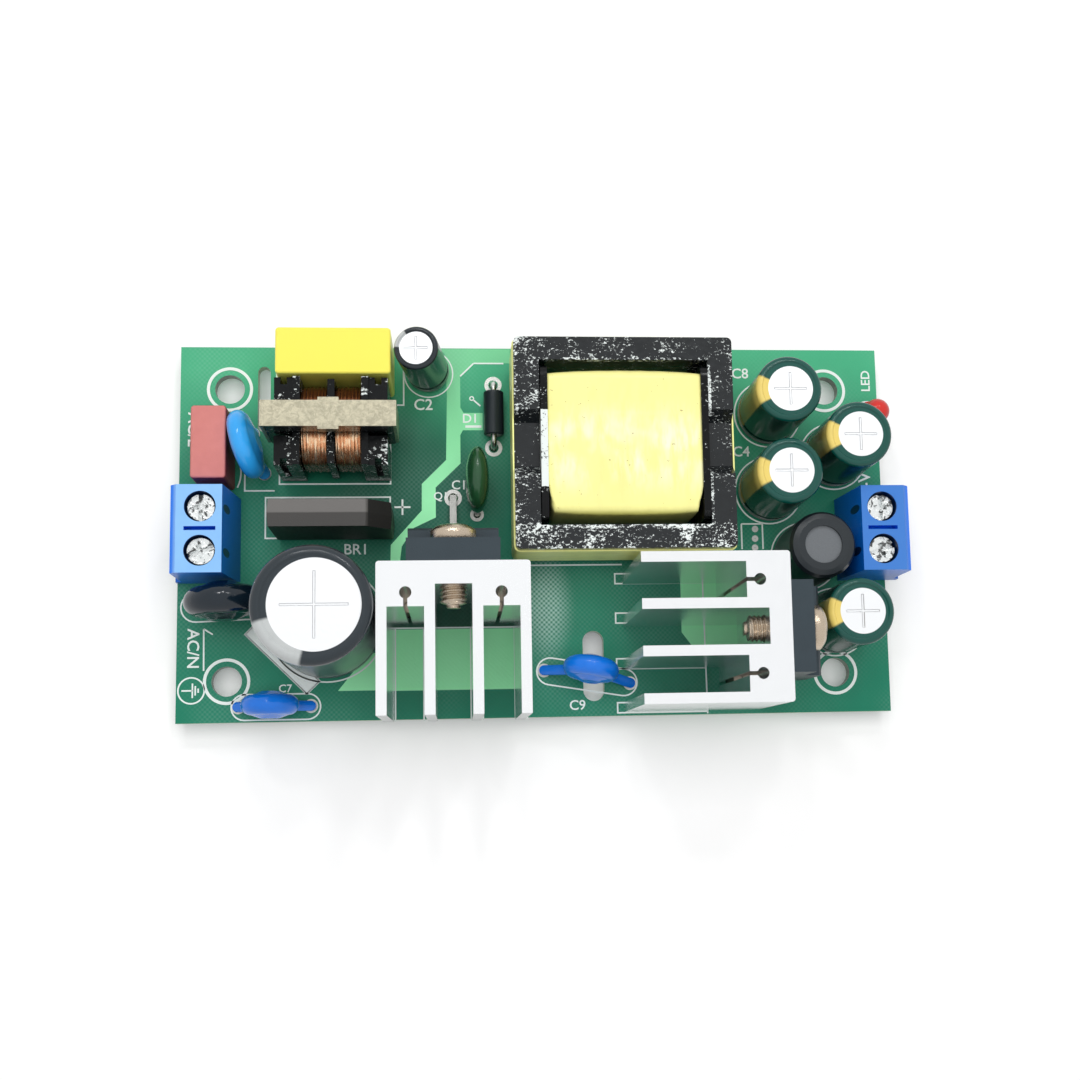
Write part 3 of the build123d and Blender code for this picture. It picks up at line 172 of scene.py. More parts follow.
SETTINGS = {
    "supply_board": BoardSettings,
    "supply_plastic": PlasticSettings,
    "supply_metal": MetalSettings,
    "supply_tape": TapeSettings,
    "supply_stage": StageSettings,
}


def settings(key):
    """The scene's own settings group."""
    return getattr(bpy.context.scene, "supply_" + key)


# Node materials
class Surface:
    """A node material on the Principled shader. Patterns read the piece's own place in millimetres."""

    def __init__(self, name, colour=None, **constants):
        self.material = bpy.data.materials.new(name)
        self.material.use_nodes = True
        self.tree = self.material.node_tree
        self.shader = next(n for n in self.tree.nodes if n.type == "BSDF_PRINCIPLED")
        self.last_bump = None
        if colour is not None:
            self.feed("Base Color", colour)
        for key, value in constants.items():
            self.feed(key.replace("_", " "), value)

    def feed(self, socket, value):
        """Sets a shader socket to a constant, or links a pattern to it."""
        self.plug(self.shader.inputs[socket], value)

    def plug(self, socket, value):
        if isinstance(value, bpy.types.NodeSocket):
            self.tree.links.new(value, socket)
        elif socket.type == "RGBA":
            socket.default_value = (*tuple(value)[:3], 1.0)
        elif socket.type == "VECTOR":
            socket.default_value = tuple(value)
        else:
            socket.default_value = value

    def node(self, kind, inputs=(), **options):
        made = self.tree.nodes.new(kind)
        for key, value in options.items():
            setattr(made, key, value)
        for key, value in dict(inputs).items():
            self.plug(made.inputs[key], value)
        return made

    def place(self, centre=(0, 0, 0), turn=(0, 0, 0)):
        """Object coordinates in millimetres from a centre, turned about it by degrees."""
        coordinates = self.node("ShaderNodeTexCoord")
        mapping = self.node("ShaderNodeMapping", {
            "Vector": coordinates.outputs["Object"],
            "Location": [c * MM for c in centre],
            "Rotation": [math.radians(a) for a in turn],
            "Scale": (MM, MM, MM),
        }, vector_type="TEXTURE")
        return mapping.outputs[0]

    def stretched(self, vector, scale):
        """A place scaled differently along each axis."""
        return self.node("ShaderNodeVectorMath", {0: vector, 1: scale}, operation="MULTIPLY").outputs[0]

    def axes(self, vector):
        return self.node("ShaderNodeSeparateXYZ", {0: vector}).outputs

    def upward(self):
        """How far the surface faces up, from -1 to 1."""
        coordinates = self.node("ShaderNodeTexCoord")
        return self.axes(coordinates.outputs["Normal"])[2]

    def sum(self, operation, a, b=0.0, c=0.0, clamp=False):
        inputs = {0: a, 1: b, 2: c} if operation == "MULTIPLY_ADD" else {0: a, 1: b}
        if operation in ("SINE", "ABSOLUTE", "SQRT", "FRACT", "COSINE"):
            inputs = {0: a}
        return self.node("ShaderNodeMath", inputs, operation=operation, use_clamp=clamp).outputs[0]

    def radius(self, a, b):
        """Distance from the axis: the square root of a squared plus b squared."""
        squares = self.sum("ADD", self.sum("MULTIPLY", a, a), self.sum("MULTIPLY", b, b))
        return self.sum("SQRT", squares)

    def above(self, value, edge, soft=0.05):
        """0 below the edge and 1 above it, with a smooth step."""
        return self.node("ShaderNodeMapRange", {
            "Value": value, "From Min": edge - soft, "From Max": edge + soft,
        }, interpolation_type="SMOOTHSTEP").outputs[0]

    def within(self, value, low, high, soft=0.05):
        """1 between two edges and 0 outside them."""
        return self.sum("SUBTRACT", self.above(value, low, soft), self.above(value, high, soft), clamp=True)

    def both(self, a, b):
        return self.sum("MULTIPLY", a, b)

    def either(self, a, b):
        return self.sum("MAXIMUM", a, b)

    def outside(self, a):
        return self.sum("SUBTRACT", 1.0, a)

    def noise(self, vector, scale, detail=2.0, roughness=0.5, distortion=0.0):
        """Noise with a given number of cells to the millimetre."""
        return self.node("ShaderNodeTexNoise", {
            "Vector": vector, "Scale": scale, "Detail": detail, "Roughness": roughness,
            "Distortion": distortion,
        }).outputs[0]

    def mix(self, factor, a, b):
        """A colour between a and b."""
        made = self.node("ShaderNodeMix", data_type="RGBA")
        self.plug(made.inputs[0], factor)
        self.plug(made.inputs[6], a)
        self.plug(made.inputs[7], b)
        return made.outputs[2]

    def value(self, factor, a, b):
        """A number between a and b."""
        made = self.node("ShaderNodeMix", data_type="FLOAT")
        for index, item in enumerate((factor, a, b)):
            self.plug(made.inputs[(0, 2, 3)[index]], item)
        return made.outputs[0]

    def bump(self, height, millimetres, strength=1.0):
        """Raises the surface by a pattern of 0 to 1, on top of any bump before it."""
        made = self.node("ShaderNodeBump", {
            "Height": height, "Distance": millimetres * MM, "Strength": strength,
        })
        if self.last_bump is not None:
            self.tree.links.new(self.last_bump, made.inputs["Normal"])
        self.last_bump = made.outputs[0]
        self.feed("Normal", self.last_bump)

    def on(self, *nodes):
        """Puts the finish on CAD nodes."""
        for name in nodes:
            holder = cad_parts[name]
            if not holder.material_slots:
                holder.data.materials.append(self.material)
            for slot in holder.material_slots:
                slot.material = self.material
        return self


def tone(colour, factor):
    """A colour made lighter or darker by a factor."""
    return tuple(min(1.0, max(0.0, c * factor)) for c in colour)


# Surfaces worked out with numpy: a shape is (points in millimetres, list of face arrays)
def merged(shapes):
    """Several shapes as one, each face array moved on by the points before it."""
    points, faces, start = [], [], 0
    for p, fs in shapes:
        points.append(p)
        faces.extend(f + start for f in fs)
        start += len(p)
    return np.concatenate(points), faces


def grid_faces(rows, columns, wrap_rows=False, wrap_columns=False):
    """Quads between neighbouring points of a rows by columns grid, closed round either way."""
    i = np.arange(rows if wrap_rows else rows - 1)
    j = np.arange(columns if wrap_columns else columns - 1)
    i, j = np.meshgrid(i, j, indexing="ij")
    n, m = (i + 1) % rows, (j + 1) % columns
    corners = (i * columns + j, i * columns + m, n * columns + m, n * columns + j)
    return np.stack(corners, -1).reshape(-1, 4)


def piece(name, shape, surface, smooth=True, body=MODULE, replaces=()):
    """Makes one mesh object from a shape, in metres at the origin, and sets it on its body."""
    points, faces = shape
    mesh = bpy.data.meshes.new(name)
    sizes = np.concatenate([np.full(len(f), f.shape[1]) for f in faces])
    loops = np.concatenate([f.ravel() for f in faces]).astype(np.int32)
    starts = np.concatenate(([0], np.cumsum(sizes)[:-1])).astype(np.int32)
    mesh.vertices.add(len(points))
    mesh.vertices.foreach_set("co", (np.asarray(points, np.float32) * MM).ravel())
    mesh.loops.add(len(loops))
    mesh.loops.foreach_set("vertex_index", loops)
    mesh.polygons.add(len(starts))
    mesh.polygons.foreach_set("loop_start", starts)
    mesh.polygons.foreach_set("use_smooth", np.full(len(starts), smooth))
    mesh.update(calc_edges=True)
    mesh.validate()
    mesh.materials.append(surface.material)
    made = bpy.data.objects.new(name, mesh)
    bpy.context.scene.collection.objects.link(made)
    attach(made, body)
    if replaces:
        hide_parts(*replaces)
    return made


def thickened(made, millimetres):
    """Gives a flat sheet its thickness, on the side that its faces look to: up, or down once hung."""
    solid = made.modifiers.new("thickness", "SOLIDIFY")
    solid.thickness = millimetres * MM
    solid.offset = 1.0
    return made


def ribbon(path, width, height, closed=False):
    """A flat line of even width: each point moves half a width along the mitre of its two runs."""
    p = np.asarray(path, float)
    ahead = np.roll(p, -1, 0) - p
    behind = p - np.roll(p, 1, 0)
    if not closed:
        ahead[-1], behind[0] = behind[-1], ahead[0]
    ahead /= np.linalg.norm(ahead, axis=1)[:, None]
    behind /= np.linalg.norm(behind, axis=1)[:, None]
    left = np.stack((-ahead[:, 1], ahead[:, 0]), 1)
    other = np.stack((-behind[:, 1], behind[:, 0]), 1)
    mitre = left + other
    mitre /= np.maximum(0.5, np.einsum("ij,ij->i", mitre, left))[:, None]
    rows = np.stack((p - mitre * width / 2, p + mitre * width / 2), 1).reshape(-1, 2)
    points = np.column_stack((rows, np.full(len(rows), height)))
    return points, [grid_faces(len(p), 2, wrap_rows=closed)[:, ::-1]]


def ring(x, y, inner, outer, height, steps=40, start=0.0, sweep=360.0):
    """A flat ring or arc that looks up: points at two radii round a centre."""
    whole = abs(sweep) >= 360
    a = np.radians(start + np.linspace(0, sweep, steps + (0 if whole else 1), endpoint=not whole))
    r = np.array((inner, outer))
    points = np.stack((
        x + np.outer(np.cos(a), r), y + np.outer(np.sin(a), r), np.full((len(a), 2), height)
    ), -1).reshape(-1, 3)
    return points, [grid_faces(len(a), 2, wrap_rows=whole)]


def patch(path, height):
    """One flat face inside a closed outline."""
    p = np.asarray(path, float)
    turn = np.sum(p[:, 0] * np.roll(p[:, 1], -1) - np.roll(p[:, 0], -1) * p[:, 1])
    order = np.arange(len(p)) if turn > 0 else np.arange(len(p))[::-1]
    return np.column_stack((p, np.full(len(p), height))), [order[None, :]]


def capsule(a, b, radius, steps=14):
    """The outline of a stadium round two points: a half circle about each, joined."""
    a, b = np.asarray(a, float), np.asarray(b, float)
    heading = math.atan2(*(b - a)[::-1])
    turn = np.linspace(-math.pi / 2, math.pi / 2, steps)
    far = b + radius * np.column_stack((np.cos(heading + turn), np.sin(heading + turn)))
    near = a - radius * np.column_stack((np.cos(heading + turn), np.sin(heading + turn)))
    return np.concatenate((far, near))


def box_path(x0, y0, x1, y1):
    return [(x0, y0), (x1, y0), (x1, y1), (x0, y1)]


def rounded_box(half_width, half_height, corner, steps):
    """Points round a rectangle with round corners, evenly by angle in the corners and by length between.
    The outline is walked by its length, so neighbouring points are about as far apart everywhere."""
    a, b = half_width - corner, half_height - corner
    quarter = corner * math.pi / 2
    runs = np.array([2 * b, quarter, 2 * a, quarter, 2 * b, quarter, 2 * a, quarter])
    edges = np.concatenate(([0], np.cumsum(runs)))
    s = np.arange(steps) / steps * edges[-1]
    leg = np.clip(np.searchsorted(edges, s, side="right") - 1, 0, 7)
    t = (s - edges[leg]) / runs[leg]
    start = np.array([(a + corner, -b), (a, b), (a, b + corner), (-a, b),
                      (-a - corner, b), (-a, -b), (-a, -b - corner), (a, -b)])
    step = np.array([(0, 2 * b), (0, 0), (-2 * a, 0), (0, 0), (0, -2 * b), (0, 0), (2 * a, 0), (0, 0)])
    angle = np.radians(np.array([0, 0, 90, 90, 180, 180, 270, 270])[leg] + 90 * t)
    straight = start[leg] + step[leg] * t[:, None]
    normal = np.column_stack((np.cos(angle), np.sin(angle)))
    curved = start[leg] + corner * normal
    odd = (leg % 2 == 1)[:, None]
    flat_normal = np.array([(1, 0), (1, 0), (0, 1), (0, 1), (-1, 0), (-1, 0), (0, -1), (0, -1)])[leg]
    return np.where(odd, curved, straight), np.where(odd, normal, flat_normal)


# Finishes
def board_surface(mask_dark, mask_light, laminate, hole_wall, name="solder_mask", depth=1.0):
    """Green mask with the glass weave showing through it, and bare laminate on the cut edges and in the holes.
    Painted light and shade: the mask is lighter toward the far edge, darker with painted shade among the tall
    parts and with a painted shadow by the primary heatsink's body, the weave shows most in a small painted
    glare, and the holes take a painted shade. The last argument, depth, is the share of the painted shade and
    shadow that it takes."""
    s = Surface(name, Roughness=0.3, Specular_IOR_Level=0.25)
    place = s.place()
    x, y, z = s.axes(place)
    # Painted light: the mask turns from the low colour to the high colour toward the far edge.
    far = s.node("ShaderNodeMapRange", {"Value": y, "From Min": 4.0, "From Max": 20.0}).outputs[0]
    green = s.mix(far, mask_dark, mask_light)
    # Painted shade: a dark patch among the tall parts, on the top face only.
    middle = s.radius(s.sum("MULTIPLY", s.sum("ADD", x, 16.0), 0.8), s.sum("SUBTRACT", y, 6.0))
    upper = s.above(z, 0.8)
    shade = s.both(upper, s.outside(s.above(middle, 9.0, 5.0)))
    # Painted shadow: a dark band by the primary heatsink's body, on the top face only.
    painted_sink_shadow = s.both(upper, s.both(s.within(x, -17.9, -0.7, 0.1), s.within(y, -11.5, -6.0, 0.1)))
    green = s.mix(s.sum("MULTIPLY", shade, 0.8 * depth), green, tone(mask_dark, 0.36))
    green = s.mix(s.sum("MULTIPLY", painted_sink_shadow, 0.8 * depth), green, tone(mask_dark, 0.12))
    cloud = s.noise(place, 0.16, 3.0, 0.6)
    green = s.mix(s.sum("MULTIPLY", cloud, 0.25), green, tone(mask_dark, 0.55))
    wave = s.both(s.sum("SINE", s.sum("MULTIPLY", x, 11.0)), s.sum("SINE", s.sum("MULTIPLY", y, 11.0)))
    weave = s.sum("MULTIPLY_ADD", wave, 0.5, 0.5)
    # Painted glare: in a small oval on the top face the weave shows much more strongly, as a painted
    # reflection.
    sheen = s.radius(s.sum("SUBTRACT", x, 1.2), s.sum("MULTIPLY", s.sum("ADD", y, 9.2), 0.5))
    glare = s.outside(s.above(sheen, 2.3, 1.6))
    strength = s.sum("ADD", s.sum("MULTIPLY", s.above(s.noise(place, 0.11, 1.0), 0.5, 0.2), 0.10),
                     s.sum("MULTIPLY", s.both(upper, glare), 0.8))
    green = s.mix(s.both(weave, strength), green, (0.52, 0.72, 0.66))
    flat = s.above(s.sum("ABSOLUTE", s.upward()), 0.5, 0.1)
    fibre = s.noise(s.stretched(place, (3.0, 3.0, 22.0)), 1.0, 3.0)
    bore = s.radius(s.sum("SUBTRACT", s.sum("ABSOLUTE", x), HOLE_X),
                    s.sum("SUBTRACT", s.sum("ABSOLUTE", y), HOLE_Y))
    # Painted shade: inside the fixing holes the laminate takes the darker hole-wall colour.
    cut = s.mix(s.above(bore, 1.9, 0.05), hole_wall, laminate)
    cut = s.mix(s.sum("MULTIPLY", fibre, 0.5), cut, tone(laminate, 0.5))
    s.feed("Base Color", s.mix(flat, cut, green))
    s.bump(weave, 0.012, 0.5)
    s.bump(s.noise(place, 2.6, 3.0), 0.02, 0.5)
    return s


def ink_surface(name, colour):
    """Printed ink: slightly uneven, with pinholes."""
    s = Surface(name, Roughness=0.55)
    place = s.place()
    thin = s.above(s.noise(place, 9.0, 3.0, 0.7), 0.66, 0.08)
    s.feed("Base Color", s.mix(s.sum("MULTIPLY", thin, 0.4), colour, tone(colour, 0.7)))
    s.bump(s.noise(place, 14.0, 2.0), 0.01)
    return s


def metal_surface(name, colour, roughness=0.3, scale=6.0, grain=(1, 1, 1), dent=0.01, stain=0.2):
    """Bare metal with fine scratches and patches that are a little duller."""
    s = Surface(name, Metallic=1.0)
    place = s.place()
    patchy = s.noise(place, scale * 0.12, 3.0, 0.6)
    scratch = s.noise(s.stretched(place, grain), scale, 3.0, 0.7)
    s.feed("Base Color", s.mix(s.sum("MULTIPLY", patchy, stain), colour, tone(colour, 0.62)))
    s.feed("Roughness", s.value(scratch, roughness * 0.75, roughness * 1.35))
    s.bump(scratch, dent)
    return s


def plastic_surface(name, top, side, roughness=0.4, grain=9.0, dent=0.012, shine=0.3):
    """Moulded plastic: top and flanks take separate colours, a painted difference of light, with fine spark
    texture and faint flow marks.
    """
    s = Surface(name, Specular_IOR_Level=shine)
    place = s.place()
    flow = s.noise(s.stretched(place, (1.0, 1.0, 0.4)), 0.5, 3.0, 0.6)
    up = s.above(s.upward(), 0.6, 0.3)
    colour = s.mix(up, side, top)
    s.feed("Base Color", s.mix(s.sum("MULTIPLY", flow, 0.28), colour, tone(side, 0.75)))
    texture = s.noise(place, grain, 2.0, 0.7)
    s.feed("Roughness", s.value(texture, roughness * 0.85, roughness * 1.2))
    s.bump(texture, dent)
    return s


def dipped_surface(name, colour, roughness=0.12, drip=0.10):
    """A dipped resin coating: glossy and slightly orange-peeled, darker in soft clouds."""
    s = Surface(name, Roughness=roughness, Specular_IOR_Level=0.45)
    place = s.place()
    cloud = s.noise(place, 0.35, 2.0)
    s.feed("Base Color", s.mix(s.sum("MULTIPLY", cloud, 0.5), colour, tone(colour, 0.55)))
    s.bump(s.noise(place, 0.7, 1.0), drip * 0.6)
    s.bump(s.noise(place, 5.0, 2.0), 0.004)
    return s


def varnished_surface(name, colour, share=0.05, glint_zones=(), scale=3.4, glint_colour=(0.84, 0.90, 0.88), shine=0.2):
    """Black moulding or ferrite under clear varnish, with pale painted glints, painted highlights that gather
    in patches; share sets how many. In a zone, an x, y and z range in millimetres, more of them stay."""
    s = Surface(name, Specular_IOR_Level=shine)
    place = s.place()
    grain = s.noise(s.stretched(place, (0.7, 1.0, 1.0)), scale, 3.0, 0.7, 0.5)
    patches = s.noise(place, 0.33, 2.0)
    level = s.sum("ADD", grain, s.sum("MULTIPLY", patches, 0.5))
    axes = s.axes(place)
    for ranges, more in glint_zones:
        mask = 1.0
        for axis, limits in zip(axes, ranges):
            if limits:
                mask = s.both(mask, s.within(axis, *limits, soft=0.08))
        level = s.sum("MULTIPLY_ADD", mask, more, level)
    # Painted highlight: pale glints where the varnish would catch the light.
    painted_glints = s.above(level, 0.94 - share, 0.03)
    soft = s.noise(place, 1.3, 2.0)
    plain_coat = s.mix(soft, tone(colour, 0.6), colour)
    s.feed("Base Color", s.mix(s.sum("MULTIPLY", painted_glints, 0.95), plain_coat, glint_colour))
    s.feed("Roughness", s.value(soft, 0.08, 0.34))
    s.bump(s.noise(place, 0.9, 1.0), 0.06)
    return s


def can_surface(name, centre, disc, top, sleeve, stripe, middle, spread, turn=(0, 0, 0), shoulder=0.5,
                painted_rim_light=1.0):
    """A sleeved can. Inside the disc's radius its top is scored aluminium, outside it the sleeve comes over
    the rim, made lighter or darker by the rim factor as painted light and shade, and one arc of it is the
    negative stripe, darker toward the bottom as painted shade."""
    metal = settings("metal").aluminium
    s = Surface(name, Specular_IOR_Level=0.4)
    place = s.place(centre, turn)
    x, y, z = s.axes(place)
    r = s.radius(x, y)
    high = s.above(z, top - shoulder, 0.03)
    lid = s.both(high, s.outside(s.above(r, disc, 0.03)))
    angle = s.node("ShaderNodeMath", {0: y, 1: x}, operation="ARCTAN2").outputs[0]
    away = s.sum("COSINE", s.sum("SUBTRACT", angle, math.radians(middle)))
    band = s.above(away, math.cos(math.radians(spread)), 0.02)
    mottle = s.noise(place, 1.4, 3.0)
    cloth = s.mix(s.sum("MULTIPLY", mottle, 0.4), sleeve, tone(sleeve, 0.6))
    # Painted light and shade: the sleeve over the rim takes the rim factor.
    cloth = s.mix(high, cloth, tone(sleeve, painted_rim_light))
    # Painted shade: the stripe darkens toward the bottom; the mottle on it is random tone.
    painted_stripe_shade = s.value(s.above(z, top - 2.2, 1.3), 0.82, 0.12)
    stripe_shade_and_mottle = s.either(painted_stripe_shade, s.sum("MULTIPLY", mottle, 0.25))
    skin = s.mix(band, cloth, s.mix(stripe_shade_and_mottle, stripe, tone(stripe, 0.16)))
    s.feed("Base Color", s.mix(lid, skin, metal))
    s.feed("Metallic", lid)
    s.feed("Roughness", s.value(lid, 0.22, 0.4))
    cross = s.either(
        s.outside(s.above(s.sum("ABSOLUTE", x), 0.12, 0.05)),
        s.outside(s.above(s.sum("ABSOLUTE", y), 0.12, 0.05))
    )
    scored = s.both(cross, s.both(lid, s.outside(s.above(r, disc * 0.72, 0.05))))
    s.bump(s.sum("SUBTRACT", 1.0, scored), 0.12)
    s.bump(s.noise(s.stretched(place, (1, 1, 0.25)), 1.6, 2.0), 0.02)
    return s


class SUPPLY_OT_board(Operator):
    """Solder mask, bare edges and the copper that shows through the mask"""

    bl_idname = "supply.board"
    bl_label = "Board finish and copper areas"

    def execute(self, context):
        look = settings("board")
        board_surface(look.mask_dark, look.mask_light, look.laminate, look.hole_wall).on("circuit_board")
        copper = board_surface(look.copper_dark, look.copper_light, look.laminate, look.hole_wall,
                               "mask_over_copper", 0.0)
        band = [
            (-11.2, 22.62), (-2.7, 22.62), (-2.7, 20.85), (-7.1, 20.85), (-8.78, 19.2), (-8.78, 15.3),
            (-8.4, 14.64), (-6.1, 14.64), (-6.1, 12.5), (-8.5, 12.5), (-8.82, 11.9), (-8.82, 8.4),
            (-11.83, 5.45), (-11.83, 1.8), (-14.46, 0.55), (-15.9, -1.7), (-16.12, -3.6), (-17.25, -3.6),
            (-17.2, -1.5), (-13.5, 2.66), (-13.48, 5.9), (-10.55, 8.83), (-10.4, 16.8), (-10.6, 21.9),
        ]
        bays = [(-17.9, -18.9), (-0.6, -18.9), (-0.6, -11.65), (-17.9, -11.65)]
        window = [(17.56, -3.6), (26.3, -3.6), (26.3, -13.95), (18.7, -13.95), (17.56, -12.4)]
        beside_can = [(-23.4, -18.8), (-18.4, -18.8), (-18.4, -14.4), (-19.9, -14.4)]
        height = BOARD_TOP
        shape = merged([patch(p, height) for p in (band, bays, window, beside_can)])
        made = piece("copper_areas", shape, copper, smooth=False)
        thickened(made, 0.02)
        return {"FINISHED"}


class SUPPLY_OT_marks(Operator):
    """White printed outlines, hole rings and polarity marks"""

    bl_idname = "supply.marks"
    bl_label = "Printed outlines"

    def execute(self, context):
        look = settings("board")
        width, height = look.ink_line / MM, BOARD_TOP
        shapes = []

        def line(*path, wide=1.0):
            shapes.append(ribbon(path, width * wide, height))

        def loop(path, wide=1.0):
            shapes.append(ribbon(path, width * wide, height, closed=True))

        outer = look.hole_ring / MM
        for x in (-HOLE_X, HOLE_X):
            for y in (-HOLE_Y, HOLE_Y):
                shapes.append(ring(x, y, outer - 0.36, outer, height, 56))
        line((-30.9, 5.13), (-34.4, 5.13), (-34.4, 9.0))
        line((-30.75, 22.4), (-30.75, 15.6), (-15.6, 15.6), (-15.6, 22.4))
        line((-30.34, 16.2), (-30.34, 5.93), (-17.2, 5.93), (-17.2, 16.2))
        loop(box_path(-31.95, -0.6, -17.25, 4.3))
        line((-16.75, 3.07), (-14.85, 3.07), wide=1.2)
        line((-15.8, 2.12), (-15.8, 4.02), wide=1.2)
        shapes.append(ring(-38.9, 7.3, 3.95, 4.13, height, 16, -26, 52))
        loop(capsule((-39.9, -8.75), (-32.6, -8.45), 1.72))
        loop(capsule((-34.2, -20.55), (-26.9, -20.55), 1.5))
        loop(capsule((1.6, -16.88), (10.4, -18.32), 1.6))
        loop([(-34.2, -12.0), (-27.0, -19.1), (-25.5, -17.6), (-32.7, -10.4)])
        shapes.append(patch([(-34.2, -12.0), (-27.0, -19.1), (-25.5, -17.6), (-32.7, -10.4)], height))
        shapes.append(ring(-24.65, -10.9, 6.75, 6.93, height, 72))
        shapes.append(ring(-12.6, 19.5, 2.85, 3.0, height, 44))
        line((-17.7, -11.5), (-1.8, -11.5))
        for x in (-17.4, -12.66, -7.1, -1.9):
            line((x - 0.7, -22.5), (x - 0.7, -11.5))
            line((x + 0.7, -22.5), (x + 0.7, -11.5))
        for y in (-5.82, -10.6, -16.1, -21.35):
            loop(box_path(9.6, y - 0.6, 20.35, y + 0.6))
        line((20.25, -3.6), (20.45, -22.2))
        line((-0.78, -4.1), (10.5, -4.1))
        line((-7.13, 20.82), (-3.5, 20.82))
        line((-7.13, 20.82), (-8.78, 19.2))
        shapes.append(ring(-7.4, 16.43, 0.16, 0.3, height, 16))
        line((-7.2, 16.25), (-6.36, 15.5))
        line((-8.2, 12.95), (-6.25, 12.95), wide=1.6)
        line((-38.95, -11.3), (-38.9, -16.2))
        line((-38.95, -11.3), (-37.9, -11.95))
        shapes.append(ring(-40.3, -18.5, 1.42, 1.6, height, 40))
        for k, half in enumerate((0.85, 0.55, 0.25)):
            line((-40.3 + 0.15 + 0.33 * k, -18.5 - half), (-40.3 + 0.15 + 0.33 * k, -18.5 + half))
        line((-41.4, -18.5), (-40.15, -18.5))
        for px, py in ((29.0, 14.5), (28.8, 4.9), (37.05, 9.15), (36.4, -11.4)):
            shapes.append(ring(px, py, 4.02, 4.2, height, 56))
        shapes.append(ring(33.0, -3.3, 4.05, 4.22, height, 56))
        shapes.append(ring(41.7, 13.9, 2.15, 2.3, height, 36))
        line((25.3, 0.78), (27.9, 0.78))
        line((25.3, -2.33), (25.3, 0.78))
        line((27.9, -2.33), (27.9, 0.78))
        made = piece("printed_marks", merged(shapes), ink_surface("printed_ink", look.ink), smooth=False)
        thickened(made, look.ink_height / MM + 0.02)
        return {"FINISHED"}


def lettering(words, x, y, height, turn=0.0):
    """A label's letters as flat faces: the font's outlines, scaled so that a capital is as high as asked."""
    curve = bpy.data.curves.new("label", "FONT")
    curve.body = words
    curve.align_x, curve.align_y = "CENTER", "CENTER"
    curve.offset = 0.012
    curve.resolution_u = 3
    holder = bpy.data.objects.new("label", curve)
    bpy.context.scene.collection.objects.link(holder)
    bpy.context.view_layer.update()
    mesh = bpy.data.meshes.new_from_object(holder.evaluated_get(bpy.context.evaluated_depsgraph_get()))
    flat = np.zeros(len(mesh.vertices) * 3)
    mesh.vertices.foreach_get("co", flat)
    flat = flat.reshape(-1, 3)[:, :2] * (height / 0.7)
    mesh.calc_loop_triangles()
    triangles = np.zeros(len(mesh.loop_triangles) * 3, np.int64)
    mesh.loop_triangles.foreach_get("vertices", triangles)
    triangles = triangles.reshape(-1, 3)
    a, b, c = (flat[triangles[:, k]] for k in range(3))
    area = (b[:, 0] - a[:, 0]) * (c[:, 1] - a[:, 1]) - (c[:, 0] - a[:, 0]) * (b[:, 1] - a[:, 1])
    triangles = triangles if area.sum() > 0 else triangles[:, ::-1]
    bpy.data.objects.remove(holder)
    bpy.data.meshes.remove(mesh)
    t = math.radians(turn)
    way = np.array(((math.cos(t), math.sin(t)), (-math.sin(t), math.cos(t))))
    points = np.column_stack((flat @ way + (x, y), np.full(len(flat), BOARD_TOP)))
    return points, [triangles]


class SUPPLY_OT_labels(Operator):
    """Plain part designators printed beside the components"""

    bl_idname = "supply.labels"
    bl_label = "Printed designators"

    def execute(self, context):
        look = settings("board")
        labels = [
            ("C2", -13.25, 15.6, 1.35, 0), ("BR1", -21.3, -2.05, 1.25, 0), ("D1", -7.6, 13.9, 1.1, 0),
            ("C8", 25.75, 19.6, 1.25, 0), ("C4", 25.6, 9.75, 1.25, 0), ("C7", -29.5, -18.45, 0.9, 0),
            ("C1", -9.0, 5.7, 1.1, 0), ("Q1", -11.2, 4.35, 0.95, 0), ("C9", 4.8, -21.0, 1.15, 0),
            ("LED", 41.65, 18.75, 1.1, 90), ("-V", 41.0, 6.2, 1.5, 90), ("AC/N", -40.2, -13.6, 1.35, -90),
            ("AC/L", -40.5, 12.6, 1.35, -90),
        ]
        shape = merged([lettering(*row) for row in labels])
        made = piece("printed_designators", shape, ink_surface("designator_ink", look.ink), smooth=False)
        thickened(made, look.ink_height / MM + 0.02)
        return {"FINISHED"}


class SUPPLY_OT_pads(Operator):
    """Tinned pads round the leads, on the top face, and the solder below"""

    bl_idname = "supply.pads"
    bl_label = "Pads, leads and solder"

    def execute(self, context):
        look = settings("board")
        tin = metal_surface("pad_tin", look.tin, roughness=0.32, scale=5.0, dent=0.02, stain=0.3)
        small = [
            (-37.55, 6.94), (-37.55, 12.02), (-32.11, 7.2), (-33.49, 12.0), (-38.3, -8.83), (-33.3, -8.57),
            (-6.9, 2.1), (-6.9, 7.1), (-34.9, -20.5), (-26.5, -20.5), (0.87, -16.76), (11.13, -18.44),
            (-12.6, 18.5), (-12.6, 20.5), (41.7, 12.63), (41.7, 15.17), (-28.7, 7.8), (-18.3, 7.8),
        ]
        large = [(-4.8, 10.3), (-4.8, 18.1), (-26.42, -12.67), (-22.88, -9.13), (-9.75, 4.15)]
        spare = [(26.99, 0.15), (26.95, -1.04), (26.91, -2.16)]
        height = BOARD_TOP
        shapes = [ring(x, y, 0.42, 0.82, height, 24) for x, y in small]
        shapes += [ring(x, y, 0.6, 1.05, height, 28) for x, y in large]
        shapes += [ring(x, y, 0.05, 0.4, height, 20) for x, y in spare]
        made = piece("top_pads", merged(shapes), tin, smooth=False)
        thickened(made, 0.035)
        metal_surface("solder", look.tin, roughness=0.2, scale=2.0, dent=0.05,
                      stain=0.35).on("solder_joints")
        metal_surface("lead_tin", look.tin, roughness=0.3, scale=7.0, grain=(1, 1, 0.15)).on("wire_leads")
        metal_surface("lead_frame", tone(look.tin, 0.5), roughness=0.4, scale=5.0,
                      stain=0.8).on("package_leads")
        return {"FINISHED"}


